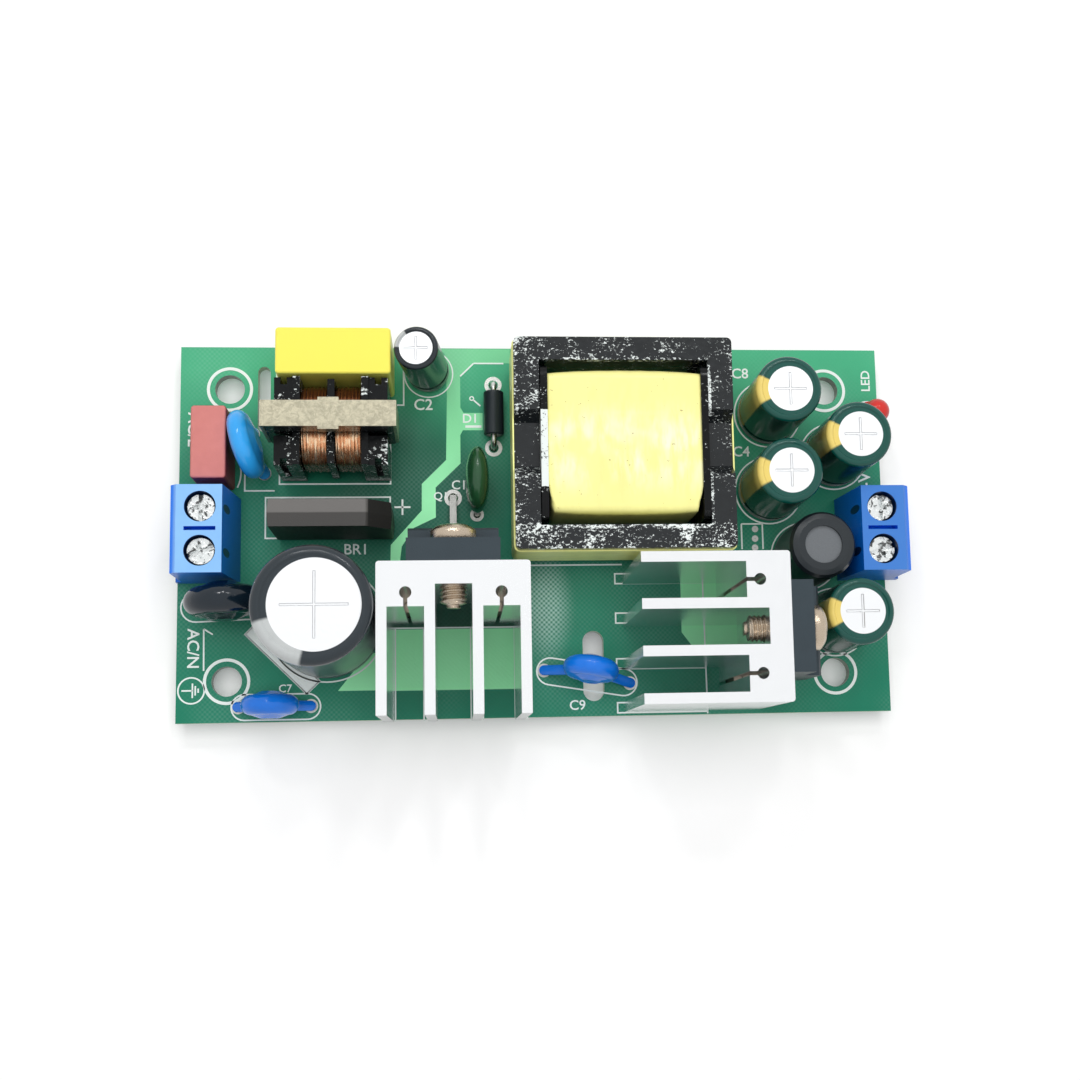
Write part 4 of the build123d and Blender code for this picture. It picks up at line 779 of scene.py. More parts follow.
def terminal_surface(name, top, side, axis_x, axis_ys, way):
    """Glossy blue moulding with painted light and shade: the top is lighter, the sides are painted darker
    toward the bottom, and the screw wells and the two small notches in the inner side, level with the screws,
    are dark with painted shadow. The inner side looks along way."""
    s = Surface(name, Specular_IOR_Level=0.25)
    place = s.place()
    x, y, z = s.axes(place)
    flow = s.noise(s.stretched(place, (1.0, 1.0, 0.4)), 0.5, 3.0, 0.6)
    edge = s.above(z, 11.3, 0.25)
    up = s.both(s.above(s.upward(), 0.6, 0.3), edge)
    # Painted shade: the sides darken toward the bottom.
    painted_low_shade = s.above(s.sum("SUBTRACT", z, s.sum("MULTIPLY", y, -0.5)), 5.0, 5.0)
    colour = s.mix(up, s.mix(painted_low_shade, tone(side, 0.5), side), top)
    dark = s.outside(s.above(z, 11.45, 0.05))
    inner = s.above(s.sum("MULTIPLY", s.sum("SUBTRACT", x, axis_x), way), 2.2, 0.02)
    for axis_y in axis_ys:
        off = s.radius(s.sum("SUBTRACT", x, axis_x), s.sum("SUBTRACT", y, axis_y))
        # Painted shadow: the well round each screw and the notch level with it are nearly black.
        well_shadow = s.both(s.outside(s.above(off, 1.95, 0.05)), dark)
        notch = s.radius(s.sum("SUBTRACT", y, axis_y), s.sum("MULTIPLY", s.sum("SUBTRACT", z, 9.2), 0.3))
        notch_shadow = s.both(inner, s.outside(s.above(notch, 0.5, 0.08)))
        colour = s.mix(s.either(well_shadow, notch_shadow), colour, tone(side, 0.03))
    s.feed("Base Color", s.mix(s.sum("MULTIPLY", flow, 0.2), colour, tone(side, 0.75)))
    texture = s.noise(place, 9.0, 2.0, 0.7)
    s.feed("Roughness", s.value(texture, 0.25, 0.4))
    s.bump(texture, 0.012)
    return s


class SUPPLY_OT_underside(Operator):
    """Traces under the mask, pads round the solder joints and tinned ends on the flat chips"""

    bl_idname = "supply.underside"
    bl_label = "Underside traces, pads and chip ends"

    def execute(self, context):
        look = settings("board")
        wide, narrow, power = 2.2, 0.8, 3.4
        runs = [
            (power, (-35.75, 1.6), (-37.55, 4.6), (-37.55, 6.94)),
            (1.6, (-37.55, 12.02), (-33.49, 12.0), (-32.6, 10.6), (-30.2, 10.6),
             (-28.7, 14.8), (-28.2, 19.3)),
            (power, (-35.75, -3.4), (-38.3, -5.8), (-38.3, -8.83)),
            (wide, (-33.3, -8.57), (-33.3, -2.0), (-32.11, 2.0), (-32.11, 7.2), (-28.7, 7.8)),
            (wide, (-18.3, 14.8), (-23.5, 11.0), (-25.51, 6.0), (-25.51, 0.6)),
            (wide, (-18.3, 7.8), (-21.7, 4.4), (-21.7, 0.6)),
            (power, (-17.89, 0.6), (-19.2, -4.0), (-22.88, -9.13)),
            (power, (-29.32, 0.6), (-29.32, -8.4), (-26.42, -12.67)),
            (wide, (-26.42, -12.67), (-20.6, -17.6), (-2.6, -17.6), (0.87, -16.76)),
            (wide, (-7.21, -3.45), (-6.0, -14.6), (-6.0, -17.0)),
            (wide, (-9.75, 4.15), (-6.2, 4.6), (-4.8, 6.0), (-4.8, 10.3), (-1.3, 13.45)),
            (wide, (-17.89, 0.6), (-12.6, 11.6), (-6.6, 20.9), (-1.3, 18.45)),
            (narrow, (-4.8, 18.1), (-6.9, 15.0), (-6.9, 7.1)),
            (narrow, (-12.6, 18.5), (-14.0, 13.0), (-14.0, 11.4)),
            (narrow, (-12.6, 20.5), (-9.8, 20.5), (-3.0, 8.45), (-1.3, 8.45)),
            (narrow, (-16.4, 6.5), (-18.6, 4.9), (-18.6, 3.4), (-16.8, 3.4)),
            (narrow, (-12.6, 6.5), (-12.29, 2.0), (-12.29, -3.45)),
            (narrow, (-12.6, 7.8), (-8.6, 5.6), (-3.2, -6.0), (3.4, -6.6)),
            (power, (21.1, 13.45), (24.6, 13.45), (27.25, 14.5)),
            (power, (21.1, 8.45), (24.0, 6.4), (27.05, 4.9)),
            (power, (21.1, -1.55), (24.2, -4.0), (29.55, -9.0), (29.55, -11.06)),
            (power, (30.75, 14.5), (30.55, 4.9), (30.5, -3.3)),
            (power, (35.5, -3.3), (38.8, 0.4), (37.95, 1.2)),
            (power, (38.8, 9.15), (38.8, 4.0), (37.95, 1.2)),
            (power, (35.3, 9.15), (34.2, 2.6), (34.65, -11.4)),
            (wide, (37.95, -3.8), (38.15, -11.4), (32.4, -15.8), (32.0, -20.6),
             (14.6, -20.6), (11.13, -18.44)),
            (narrow, (41.7, 15.17), (39.2, 12.6), (36.0, 6.4), (33.4, 1.4)),
            (narrow, (9.6, -7.4), (13.4, -7.4), (14.0, -8.0), (18.8, -7.9)),
            (narrow, (9.6, -9.9), (11.2, -12.6), (14.6, -12.6), (18.8, -11.1)),
            (narrow, (20.8, -11.1), (22.4, -14.0), (25.2, -14.0)),
        ]
        joints = [
            (-37.55, 6.94), (-37.55, 12.02), (-32.11, 7.2), (-38.3, -8.83), (-33.3, -8.57),
            (-6.9, 2.1), (-6.9, 7.1), (-34.9, -20.5), (-26.5, -20.5), (0.87, -16.76), (11.13, -18.44),
            (-12.6, 18.5), (-12.6, 20.5), (41.7, 12.63), (41.7, 15.17), (-28.7, 7.8), (-18.3, 7.8),
            (-28.7, 14.8), (-18.3, 14.8), (-28.2, 19.3), (-18.2, 19.3), (-35.75, -3.4), (-35.75, 1.6),
            (37.95, -3.8), (37.95, 1.2), (-29.32, 0.6), (-25.51, 0.6), (-21.7, 0.6), (-17.89, 0.6),
            (-4.8, 10.3), (-4.8, 18.1), (-26.42, -12.67), (-22.88, -9.13), (-9.75, 4.15), (-12.29, -3.45),
            (-7.21, -3.45), (29.55, -16.14), (29.55, -13.6), (29.55, -11.06), (30.5, -3.3), (35.5, -3.3),
            (27.25, 14.5), (30.75, 14.5), (27.05, 4.9), (30.55, 4.9), (35.3, 9.15), (38.8, 9.15),
            (34.65, -11.4), (38.15, -11.4), (-14.87, -9.55), (-4.63, -9.55), (23.45, -18.72), (23.45, -8.48),
        ]
        joints += [(x, y) for x in (-1.3, 21.1) for y in (-1.55, 3.45, 8.45, 13.45, 18.45)]
        copper = board_surface(look.copper_dark, look.copper_light, look.laminate, look.hole_wall,
                               "mask_over_traces", 0.3)
        traces = []
        for level, (width, *path) in enumerate(runs):
            traces += [patch(capsule(a, b, width / 2), 0.014 - 0.0004 * level - 0.0001 * (k % 2))
                       for k, (a, b) in enumerate(zip(path, path[1:]))]
        made = piece("under_traces", self.hung(merged(traces)), copper, smooth=False)
        thickened(made, 0.034)
        tin = metal_surface("under_tin", look.tin, roughness=0.3, scale=5.0, dent=0.02, stain=0.3)
        rings = merged([ring(x, y, 0.7, 1.18, 0.0, 28) for x, y in joints])
        made = piece("under_pads", self.hung(rings), tin, smooth=False)
        thickened(made, 0.045)
        ends = [self.ends(name) for name in ("chip_resistors", "chip_capacitors")]
        made = piece("chip_ends", merged(ends), tin, smooth=False)
        edge = made.modifiers.new("edge", "BEVEL")
        edge.width, edge.segments = 0.04 * MM, 1
        return {"FINISHED"}

    def hung(self, shape):
        """The same shape with its faces turned to look down."""
        points, faces = shape
        return points, [f[:, ::-1] for f in faces]

    def ends(self, name, cap=0.42, skin=0.025):
        """Box-shaped sleeves over both ends of every block in a node. Points that share an edge belong to
        one block, and a block's longer side tells which two ends are tinned."""
        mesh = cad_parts[name].data
        points = np.zeros(len(mesh.vertices) * 3)
        mesh.vertices.foreach_get("co", points)
        points = points.reshape(-1, 3) / MM
        edges = np.zeros(len(mesh.edges) * 2, np.int64)
        mesh.edges.foreach_get("vertices", edges)
        label = np.arange(len(points))
        for _ in range(16):
            np.minimum.at(label, edges.reshape(-1, 2), label[edges.reshape(-1, 2)[:, ::-1]])
        box_faces = np.array([
            (0, 3, 2, 1), (4, 5, 6, 7), (0, 1, 5, 4), (1, 2, 6, 5), (2, 3, 7, 6), (3, 0, 4, 7),
        ])
        shapes = []
        block = np.unique(np.round(points[label], 3), axis=0, return_inverse=True)[1].ravel()
        for k in np.unique(block):
            own = points[block == k]
            lo, hi = own.min(0) - skin, own.max(0) + skin
            hi[2] = own[:, 2].max()
            along = 0 if hi[0] - lo[0] > hi[1] - lo[1] else 1
            for start, stop in ((lo[along], lo[along] + cap), (hi[along] - cap, hi[along])):
                a, b = lo.copy(), hi.copy()
                a[along], b[along] = start, stop
                shapes.append((np.array([
                    (a[0], a[1], a[2]), (b[0], a[1], a[2]), (b[0], b[1], a[2]), (a[0], b[1], a[2]),
                    (a[0], a[1], b[2]), (b[0], a[1], b[2]), (b[0], b[1], b[2]), (a[0], b[1], b[2]),
                ]), [box_faces]))
        return merged(shapes)


class SUPPLY_OT_terminals(Operator):
    """Blue terminal housings with their screws, cages and contacts"""

    bl_idname = "supply.terminals"
    bl_label = "Terminal finishes"

    def execute(self, context):
        look, metal = settings("plastic"), settings("metal")
        for side, top, way in (("mains", look.terminal_mains, 1.0), ("output", look.terminal_output, -1.0)):
            screws = [sum(np.array(c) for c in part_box(f"{side}_clamp_screw_{n}")) / (2 * MM) for n in (1, 2)]
            terminal_surface("terminal_" + side, top, look.terminal_side, screws[0][0],
                             [c[1] for c in screws], way).on(side + "_terminal_housing")
        nickel = metal_surface("nickel", metal.nickel, 0.22, 7.0)
        nickel.on(*[f"{side}_cage_{n}" for side in ("mains", "output") for n in (1, 2)],
                  "mains_terminal_contacts", "output_terminal_contacts")
        s = Surface("screw_nickel", Metallic=1.0)
        place = s.place()
        # Painted reflection: dark mottle on the screw heads stands in for the surroundings that they reflect.
        painted_reflection_mottle = s.noise(place, 1.5, 3.0, 0.6, 0.8)
        s.feed("Base Color", s.mix(s.above(painted_reflection_mottle, 0.58, 0.04), metal.nickel, tone(metal.nickel, 0.12)))
        s.feed("Roughness", s.value(painted_reflection_mottle, 0.15, 0.4))
        s.bump(painted_reflection_mottle, 0.10)
        s.on(*[f"{side}_clamp_screw_{n}" for side in ("mains", "output") for n in (1, 2)])
        return {"FINISHED"}


class SUPPLY_OT_input_parts(Operator):
    """Fuse, surge and inrush discs, filter and safety capacitors, and the bridge"""

    bl_idname = "supply.input_parts"
    bl_label = "Input part finishes"

    def execute(self, context):
        look = settings("plastic")
        # Painted light: the fuse's top is painted lighter than its sides.
        plastic_surface("fuse_moulding", look.fuse_top, look.fuse_case, 0.5, grain=3.0, dent=0.03).on("fuse")
        dipped_surface("blue_dip", look.blue_dip).on("line_safety_capacitor", "bridge_safety_capacitor")
        dipped_surface("surge_dip", look.surge).on("surge_disc")
        dipped_surface("black_dip", look.black_dip).on("inrush_disc")
        # Painted light: the filter case's sides are painted lighter than its top.
        plastic_surface("filter_case", look.filter_case, tone(look.filter_case, 1.6), 0.35).on(
            "filter_capacitor"
        )
        s = Surface("bridge_moulding", Specular_IOR_Level=0.25)
        place = s.place()
        x, y, z = s.axes(place)
        # Painted light: the top is lighter than the sides, with a painted highlight band toward +y on it; left
        # of x -19.3 the top is darker.
        up = s.above(s.upward(), 0.6, 0.2)
        ridge = s.above(y, 0.6, 0.12)
        grain = s.noise(place, 8.0, 3.0, 0.7)
        top = s.mix(ridge, tone(look.bridge, 2.4), tone(look.bridge, 6.0))
        top = s.mix(s.above(x, -19.3, 0.1), top, tone(look.bridge, 0.5))
        s.feed("Base Color", s.mix(up, tone(look.bridge, 0.5), top))
        s.feed("Roughness", s.value(grain, 0.4, 0.6))
        s.bump(grain, 0.02)
        s.on("bridge_rectifier")
        return {"FINISHED"}


class SUPPLY_OT_choke(Operator):
    """The mains choke: varnished former and core, mottled clip and two wound coils"""

    bl_idname = "supply.choke"
    bl_label = "Choke and its windings"

    def execute(self, context):
        look, metal = settings("plastic"), settings("metal")
        varnished_surface("choke_former", look.former, share=0.05, scale=2.4).on("choke_bobbin")
        varnished_surface("choke_ferrite", look.former, share=0.02, scale=2.0).on(
            "choke_core_left", "choke_core_right"
        )
        s = Surface("clip_steel", Metallic=1.0)
        place = s.place()
        mottle = s.noise(place, 1.6, 4.0, 0.75, 0.5)
        s.feed("Base Color", s.mix(s.above(mottle, 0.5, 0.16), metal.clip, tone(metal.clip, 0.66)))
        s.feed("Roughness", s.value(mottle, 0.25, 0.5))
        s.bump(mottle, 0.03)
        s.on("choke_clip")

        wire = metal.wire_thickness / MM
        lo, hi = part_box("choke_windings")
        lo, hi = np.array(lo) / MM, np.array(hi) / MM
        gap = 0.9
        length = (hi[0] - lo[0] - gap) / 2
        middle = (lo + hi) / 2
        shapes = []
        for start in (lo[0], hi[0] - length):
            shapes.append(self.coil(start, length, middle, (hi[1] - lo[1]) / 2, wire))
        s = Surface("enamelled_wire", Metallic=0.85)
        place = s.place()
        x, y, z = s.axes(place)
        # Painted light: in a lit zone on the upper front of the coils the wire is bright copper with painted
        # glints; elsewhere it takes the copper_shade colour, painted shade.
        lit = s.both(s.within(y, middle[1] - 4.9, middle[1] - 1.0, 0.9), s.above(z, hi[2] - 2.2, 1.0))
        glint = s.both(lit, s.above(s.noise(s.stretched(place, (2.0, 0.8, 1.0)), 1.0, 3.0, 0.7), 0.52, 0.06))
        copper = s.mix(s.value(lit, 0.12, 1.0), metal.copper_shade, metal.copper)
        s.feed("Base Color", s.mix(s.sum("MULTIPLY", glint, 0.9), copper, metal.glint))
        s.feed("Roughness", s.value(s.noise(place, 0.6, 2.0), 0.16, 0.34))
        s.bump(s.noise(place, 6.0, 2.0), 0.01)
        piece("choke_coils", merged(shapes), s, replaces=("choke_windings",))
        return {"FINISHED"}

    def coil(self, start, length, middle, half, wire):
        """Close turns of round wire. Across the turns the surface is a row of half circles,
        r minus the root of r squared minus d squared below the coil's outside, where d is the distance
        to the nearest turn's centre. That centre moves on by one wire for each time round."""
        turns = int(length / wire)
        pitch = length / turns
        steps, rows = 112, turns * 9 + 1
        outline, normal = rounded_box(half, half, 3.2, steps)
        round_share = np.arange(steps) / steps
        v = np.linspace(0, 1, rows)
        x = v[:, None] * length
        phase = x / pitch - round_share[None, :]
        d = (phase - np.floor(phase) - 0.5) * pitch
        r = wire / 2
        sunk = r - np.sqrt(np.maximum(0, r * r - d * d))
        turn = np.floor(phase)
        sunk = sunk + 0.05 * (1 + np.sin(turn * 2.4 + 6.28 * round_share[None, :] * 1.0))
        edge = np.minimum(1, np.minimum(v, 1 - v) * rows / 3)[:, None]
        sunk = sunk * edge + (1 - edge) * 0.25
        y = middle[1] + outline[None, :, 0] - normal[None, :, 0] * sunk
        z = middle[2] + outline[None, :, 1] - normal[None, :, 1] * sunk
        side = np.stack((np.broadcast_to(start + x, y.shape), y, z), -1)
        inner, _ = rounded_box(2.05, 2.05, 0.1, steps)
        inside = np.stack(np.broadcast_arrays(
            np.array([start + length, start])[:, None], middle[1] + inner[None, :, 0],
            middle[2] + inner[None, :, 1]), -1)
        points = np.concatenate((side, inside))
        faces = grid_faces(rows + 2, steps, wrap_rows=True, wrap_columns=True)
        return points.reshape(-1, 3), [faces]


class SUPPLY_OT_cans(Operator):
    """Sleeves, stripes and lids of the electrolytic capacitors, and the sleeved output choke"""

    bl_idname = "supply.cans"
    bl_label = "Capacitor and choke sleeves"

    def execute(self, context):
        look, metal = settings("plastic"), settings("metal")
        can_surface("bulk_can", (-24.3, -10.9, 0), 4.95, 23.3, look.sleeve_black, look.stripe_silver,
                    226, 30, shoulder=1.2, painted_rim_light=0.7).on("bulk_capacitor")
        can_surface("bias_can", (-12.6, 19.5, 2.5), 1.9, 11.1,
                    tone(look.sleeve_black, 0.5), look.stripe_silver,
                    150, 26, turn=(0, -6.5, 0), shoulder=0.6).on("bias_capacitor")
        for name, x, y in (("a", 29.0, 14.5), ("b", 28.8, 4.9), ("c", 37.05, 9.15), ("d", 36.4, -11.4)):
            can_surface(f"output_can_{name}", (x + 0.15, y, 0), 2.62, 14.9,
                        look.sleeve_green, look.stripe_gold,
                        182, 25, shoulder=0.6, painted_rim_light=2.4).on(f"output_capacitor_{name}")
        s = dipped_surface("choke_sleeve", tone(look.sleeve_black, 0.45), 0.35, 0.05)
        s.on("output_choke_sleeve")
        s = Surface("bare_ferrite", Roughness=0.5)
        place = s.place()
        grain = s.noise(place, 7.0, 4.0, 0.8)
        s.feed("Base Color", s.mix(grain, tone(metal.ferrite, 0.7), tone(metal.ferrite, 1.25)))
        s.bump(grain, 0.03)
        s.on("output_choke_drum")
        return {"FINISHED"}


class SUPPLY_OT_heatsinks(Operator):
    """Comb heatsinks, their pins and the power packages"""

    bl_idname = "supply.heatsinks"
    bl_label = "Heatsinks and packages"

    def execute(self, context):
        look, metal = settings("plastic"), settings("metal")
        made = [metal_surface(name, metal.aluminium, 0.17, 5.0, grain=(3, 3, 0.06), dent=0.012, stain=0.12)
                for name in ("sink_aluminium", "sink_shaded_ends")]
        for s in made:
            s.feed("Metallic", 0.9)
        made[0].on("secondary_heatsink")
        lo, hi = (np.array(c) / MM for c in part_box("primary_heatsink"))
        x, y, z = s.axes(s.place())
        # Painted shade: the primary heatsink's fin ends that face -y take a darker aluminium.
        topside = s.sum("MULTIPLY", s.above(s.upward(), 0.5), 9.0)
        painted_end_shade = s.outside(s.above(s.sum("ADD", y, topside), lo[1] + 0.2))
        s.feed("Base Color", s.mix(painted_end_shade, metal.aluminium, tone(metal.aluminium, 0.45)))
        s.on("primary_heatsink")
        metal_surface("sink_pins", metal.bronze, 0.3, 6.0).on(
            "primary_heatsink_pins", "secondary_heatsink_pins"
        )
        # Painted light: the packages' tops are painted lighter than their sides.
        plastic_surface("package_moulding", tone(look.moulding, 2.1), look.moulding, 0.42, grain=7.0,
                        dent=0.02).on("switch_transistor", "output_rectifier")
        return {"FINISHED"}


class SUPPLY_OT_screws(Operator):
    """Pan-head screws with a cross recess and a cut thread, through the packages and heatsinks"""

    bl_idname = "supply.screws"
    bl_label = "Heatsink screws"

    def execute(self, context):
        metal = settings("metal")
        finish = metal_surface("bronze_steel", metal.bronze, 0.26, 6.0, dent=0.02, stain=0.45)
        for name, way in (("transistor_screw", (0.0, 1.0, 0.0)), ("rectifier_screw", (1.0, 0.0, 0.0))):
            lo, hi = (np.array(c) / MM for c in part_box(name))
            axis = np.array(way)
            centre = (lo + hi) / 2
            face = float(hi @ axis)
            tail = float(lo @ axis)
            origin = centre * (1 - axis) + face * axis
            radius = (hi - lo)[2] / 2
            shape = self.screw(origin, axis, radius, face - tail)
            piece("threaded_" + name, shape, finish, replaces=(name,))
        return {"FINISHED"}

    def screw(self, origin, axis, head_radius, length):
        """Head: depth below the face grows with the fourth power of the radius share, and a cross of two
        slots is sunk in it. Shank: the radius falls by a triangle wave whose phase runs on with the
        angle."""
        metal = settings("metal")
        pitch, depth = metal.screw_pitch / MM, metal.thread_depth / MM
        steps, head_height, shank = 64, 1.9, 1.5
        a = np.arange(steps) / steps * 2 * math.pi
        share = np.concatenate((np.linspace(0.04, 1, 26), [1.0, 1.0, 0.97]))
        drop = 0.75 * share**4
        drop[26:] = (1.2, head_height - 0.1, head_height)
        r = share * head_radius
        cx, cy = np.cos(a)[None, :] * r[:, None], np.sin(a)[None, :] * r[:, None]
        arm = 0.42 - 0.08 * np.hypot(cx, cy)
        near = np.maximum(arm - np.abs(cx), arm - np.abs(cy))
        reach = np.clip((head_radius * 0.62 - np.hypot(cx, cy)) * 4, 0, 1)
        cut = np.clip(near * 7, 0, 1) * reach * (1.1 - 0.25 * np.hypot(cx, cy))
        cut[26:] = 0
        head_down = drop[:, None] + cut
        rows = int((length - head_height) / pitch * 10)
        s = np.linspace(0, 1, rows)
        down = head_height + s * (length - head_height)
        phase = down[:, None] / pitch - a[None, :] / (2 * math.pi)
        wave = np.abs((phase % 1.0) * 2 - 1)
        lead = np.clip((1 - s) * 14, 0.55, 1)[:, None]
        thread = (shank - depth * wave) * lead
        tx, ty = np.cos(a)[None, :] * thread, np.sin(a)[None, :] * thread
        across = np.array((0, 0, 1.0))
        side = np.cross(axis, across)
        u = np.concatenate((cx, tx))
        v = np.concatenate((cy, ty))
        d = np.concatenate((head_down, np.broadcast_to(down[:, None], tx.shape)))
        points = origin - d[..., None] * axis + u[..., None] * side + v[..., None] * across
        count = u.shape[0]
        faces = grid_faces(count, steps, wrap_columns=True)
        first = origin - (drop[0] + 1.05) * axis
        last = origin - length * axis
        i = np.arange(steps)
        total = count * steps
        caps = [
            np.column_stack((np.full(steps, total), (i + 1) % steps, i)),
            np.column_stack((np.full(steps, total + 1), total - steps + i, total - steps + (i + 1) % steps)),
        ]
        points = np.concatenate((points.reshape(-1, 3), [first, last]))
        return points, [faces, *caps]


class SUPPLY_OT_transformer(Operator):
    """The transformer: taped winding, varnished cores and former, and the tape round the core"""

    bl_idname = "supply.transformer"
    bl_label = "Transformer"

    def execute(self, context):
        look, tape = settings("plastic"), settings("tape")
        flat = (13.0, 15.0)
        # Painted highlight: the zones add glints along the core's edges, on its top.
        varnished_surface("core_varnish", tone(look.former, 2.6), 0.035, [
            ((None, (-4.2, -0.9), flat), 0.08), (((-0.4, 19.8), (-1.6, -1.1), flat), 0.08),
            (((-3.0, -2.3), None, flat), 0.06), (((19.65, 20.0), (-0.6, 5.9), flat), 0.16),
            (((19.65, 20.0), (11.5, 17.8), flat), 0.16), (((-0.5, 19.8), (18.0, 18.3), flat), 0.08),
        ], scale=4.0, shine=0.4).on("transformer_core_left", "transformer_core_right")
        # Painted highlight: the zone adds glints on the strip of the former that shows.
        varnished_surface("former_varnish", tone(look.former, 0.6), -0.02, [
            (((-0.9, 1.1), (3.2, 12.1), (5.0, 15.0)), 0.36),
        ]).on("transformer_coil_former")
        self.tape_surface("core_tape", tone(look.tape, 1.6), (1, 1, 1), 0.35).on("transformer_core_tape")
        lo, hi = (np.array(c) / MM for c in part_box("transformer_winding"))
        shape = self.wrap(lo, hi, tape)
        surface = self.tape_surface("winding_tape", look.tape, (1, 0.2, 0.2), 0.22, True)
        piece("taped_winding", shape, surface, replaces=("transformer_winding",))
        return {"FINISHED"}

    def tape_surface(self, name, colour, stretch, stain, glare=False):
        """Glossy polyester film over the turns below: fine ridges, glue shadows and a few bubbles. With glare
        it also gets painted glare patches and a painted shade on its lower side.
        """
        s = Surface(name, Roughness=0.28, Specular_IOR_Level=0.4)
        place = s.place()
        shadow = s.noise(s.stretched(place, stretch), 0.5, 4.0, 0.6)
        film = s.mix(s.both(s.above(shadow, 0.55, 0.2), stain), colour, tone(colour, 0.6))
        if glare:
            x, y, z = s.axes(place)
            streak = s.noise(s.stretched(place, (1.2, 0.3, 0.3)), 0.8, 3.0, 0.6)
            patch_noise = s.above(s.noise(place, 0.22, 2.0), 0.46, 0.12)
            # Painted glare: pale streaked patches on the middle of the winding.
            pale = s.both(patch_noise, s.both(s.within(y, 4.0, 11.0, 3.0), s.above(streak, 0.5, 0.18)))
            film = s.mix(s.sum("MULTIPLY_ADD", pale, 0.55, 0.16), film, (1.0, 1.0, 0.86))
            blotch = s.above(s.noise(place, 2.2, 2.0), 0.735, 0.02)
            film = s.mix(s.both(blotch, 0.6), film, (0.25, 0.16, 0.03))
            # Painted shade: the film darkens below y 0.3, on its side toward -y.
            s.feed("Base Color", s.mix(s.above(y, 0.3, 0.3), tone(colour, 0.8), film))
        else:
            s.feed("Base Color", film)
        s.bump(s.noise(s.stretched(place, stretch), 1.2, 3.0), 0.05)
        return s

    def wrap(self, lo, hi, tape):
        """A rounded box carried along the winding's axis. It sinks toward both ends by the square of the
        distance from the middle, steps out where the last turn of tape ends, and has small wrinkles."""
        columns, rows = tape.columns, tape.rows
        centre, half = (lo + hi) / 2, (hi - lo) / 2
        outline, normal = rounded_box(half[1], half[2], 1.1, rows)
        share = np.arange(rows) / rows
        v = np.linspace(0, 1, columns)
        t = np.abs(2 * v - 1)
        sink = tape.barrel / MM * t**4 * 0.4 + tape.barrel / MM * t**2 * 0.6
        step = tape.lap / MM * ((share > 0.27) & (share < 0.27 + 0.62))
        ridge = tape.wrinkle / MM * (
            np.sin(v[:, None] * 46 + np.sin(share[None, :] * 25) * 1.2)
            * np.sin(share[None, :] * 2 * math.pi * 9 + v[:, None] * 3)
        )
        down = sink[:, None] + (tape.lap / MM - step)[None, :] * 0.5 + ridge + tape.wrinkle / MM
        fold = 1 - 0.07 * np.clip(-outline[None, :, 0] / half[1] * 3 - 1.6, 0, 1) ** 2
        x = centre[0] + (v * 2 - 1)[:, None] * half[0] * fold
        y = centre[1] + outline[None, :, 0] - normal[None, :, 0] * down
        z = centre[2] + outline[None, :, 1] - normal[None, :, 1] * down
        side = np.stack((x, y, z), -1)
        inner, _ = rounded_box(half[1] - 2.0, half[2] - 2.0, 1.0, rows)
        ends = np.stack(np.broadcast_arrays(
            np.array([hi[0], lo[0]])[:, None], centre[1] + inner[None, :, 0],
            centre[2] + inner[None, :, 1]), -1)
        points = np.concatenate((side, ends)).reshape(-1, 3)
        return points, [grid_faces(columns + 2, rows, wrap_rows=True, wrap_columns=True)]


class SUPPLY_OT_small_parts(Operator):
    """Power light, diode, film capacitor and the chips under the board"""

    bl_idname = "supply.small_parts"
    bl_label = "Small part finishes"

    def execute(self, context):
        look, board = settings("plastic"), settings("board")
        s = Surface("red_lens", Roughness=0.08, Transmission_Weight=0.25, IOR=1.5)
        place = s.place((41.7, 13.9, 4.0))
        x, y, z = s.axes(place)
        # Painted highlight: the dome's middle is painted lighter.
        glow = s.outside(s.above(s.radius(x, y), 0.9, 0.5))
        s.feed("Base Color", s.mix(s.sum("MULTIPLY", glow, 0.6), look.lens, tone(look.lens, 1.5)))
        s.bump(s.noise(place, 1.0, 1.0), 0.02)
        s.on("power_light")
        lo, hi = (np.array(c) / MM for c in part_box("film_capacitor"))
        piece("dipped_film_body", self.dipped_body(lo, hi),
              dipped_surface("olive_dip", look.olive_dip, 0.2, 0.04),
              replaces=("film_capacitor",))
        plastic_surface("diode_moulding", look.moulding, tone(look.moulding, 0.8), 0.3).on("clamp_diode")
        plastic_surface("chip_moulding", tone(look.moulding, 0.8), tone(look.moulding, 0.7), 0.45).on(
            "controller_chip", "isolator_chip", "reference_chip"
        )
        plastic_surface("chip_resistor", (0.03, 0.03, 0.035), (0.03, 0.03, 0.035), 0.3).on("chip_resistors")
        plastic_surface("chip_ceramic", (0.42, 0.27, 0.16), (0.42, 0.27, 0.16), 0.4).on("chip_capacitors")
        return {"FINISHED"}

    def dipped_body(self, lo, hi, rows=40, steps=72):
        """A dipped flat body: a superellipse in plan, whose half width and half length shrink with
        height as the root of 1 minus the height share to the power 2.6, poles closed."""
        centre, half = (lo + hi) / 2, (hi - lo) / 2
        t = np.linspace(-1, 1, rows + 2)[1:-1]
        a = np.arange(steps) / steps * 2 * math.pi
        swell = (1 - np.abs(t) ** 2.6) ** 0.5
        c, d = np.cos(a), np.sin(a)
        plan_y = np.sign(d) * np.abs(d) ** 0.9
        x = centre[0] + half[0] * swell[:, None] * c[None, :]
        y = centre[1] + half[1] * swell[:, None] ** 0.8 * plan_y[None, :]
        z = np.broadcast_to((centre[2] + half[2] * t)[:, None], x.shape)
        points = np.stack((x, y, z), -1).reshape(-1, 3)
        low, high = centre - (0, 0, half[2]), centre + (0, 0, half[2])
        i, total = np.arange(steps), rows * steps
        caps = [
            np.column_stack((np.full(steps, total), (i + 1) % steps, i)),
            np.column_stack((np.full(steps, total + 1), total - steps + i, total - steps + (i + 1) % steps)),
        ]
        return np.concatenate((points, [low, high])), [grid_faces(rows, steps, wrap_columns=True), *caps]


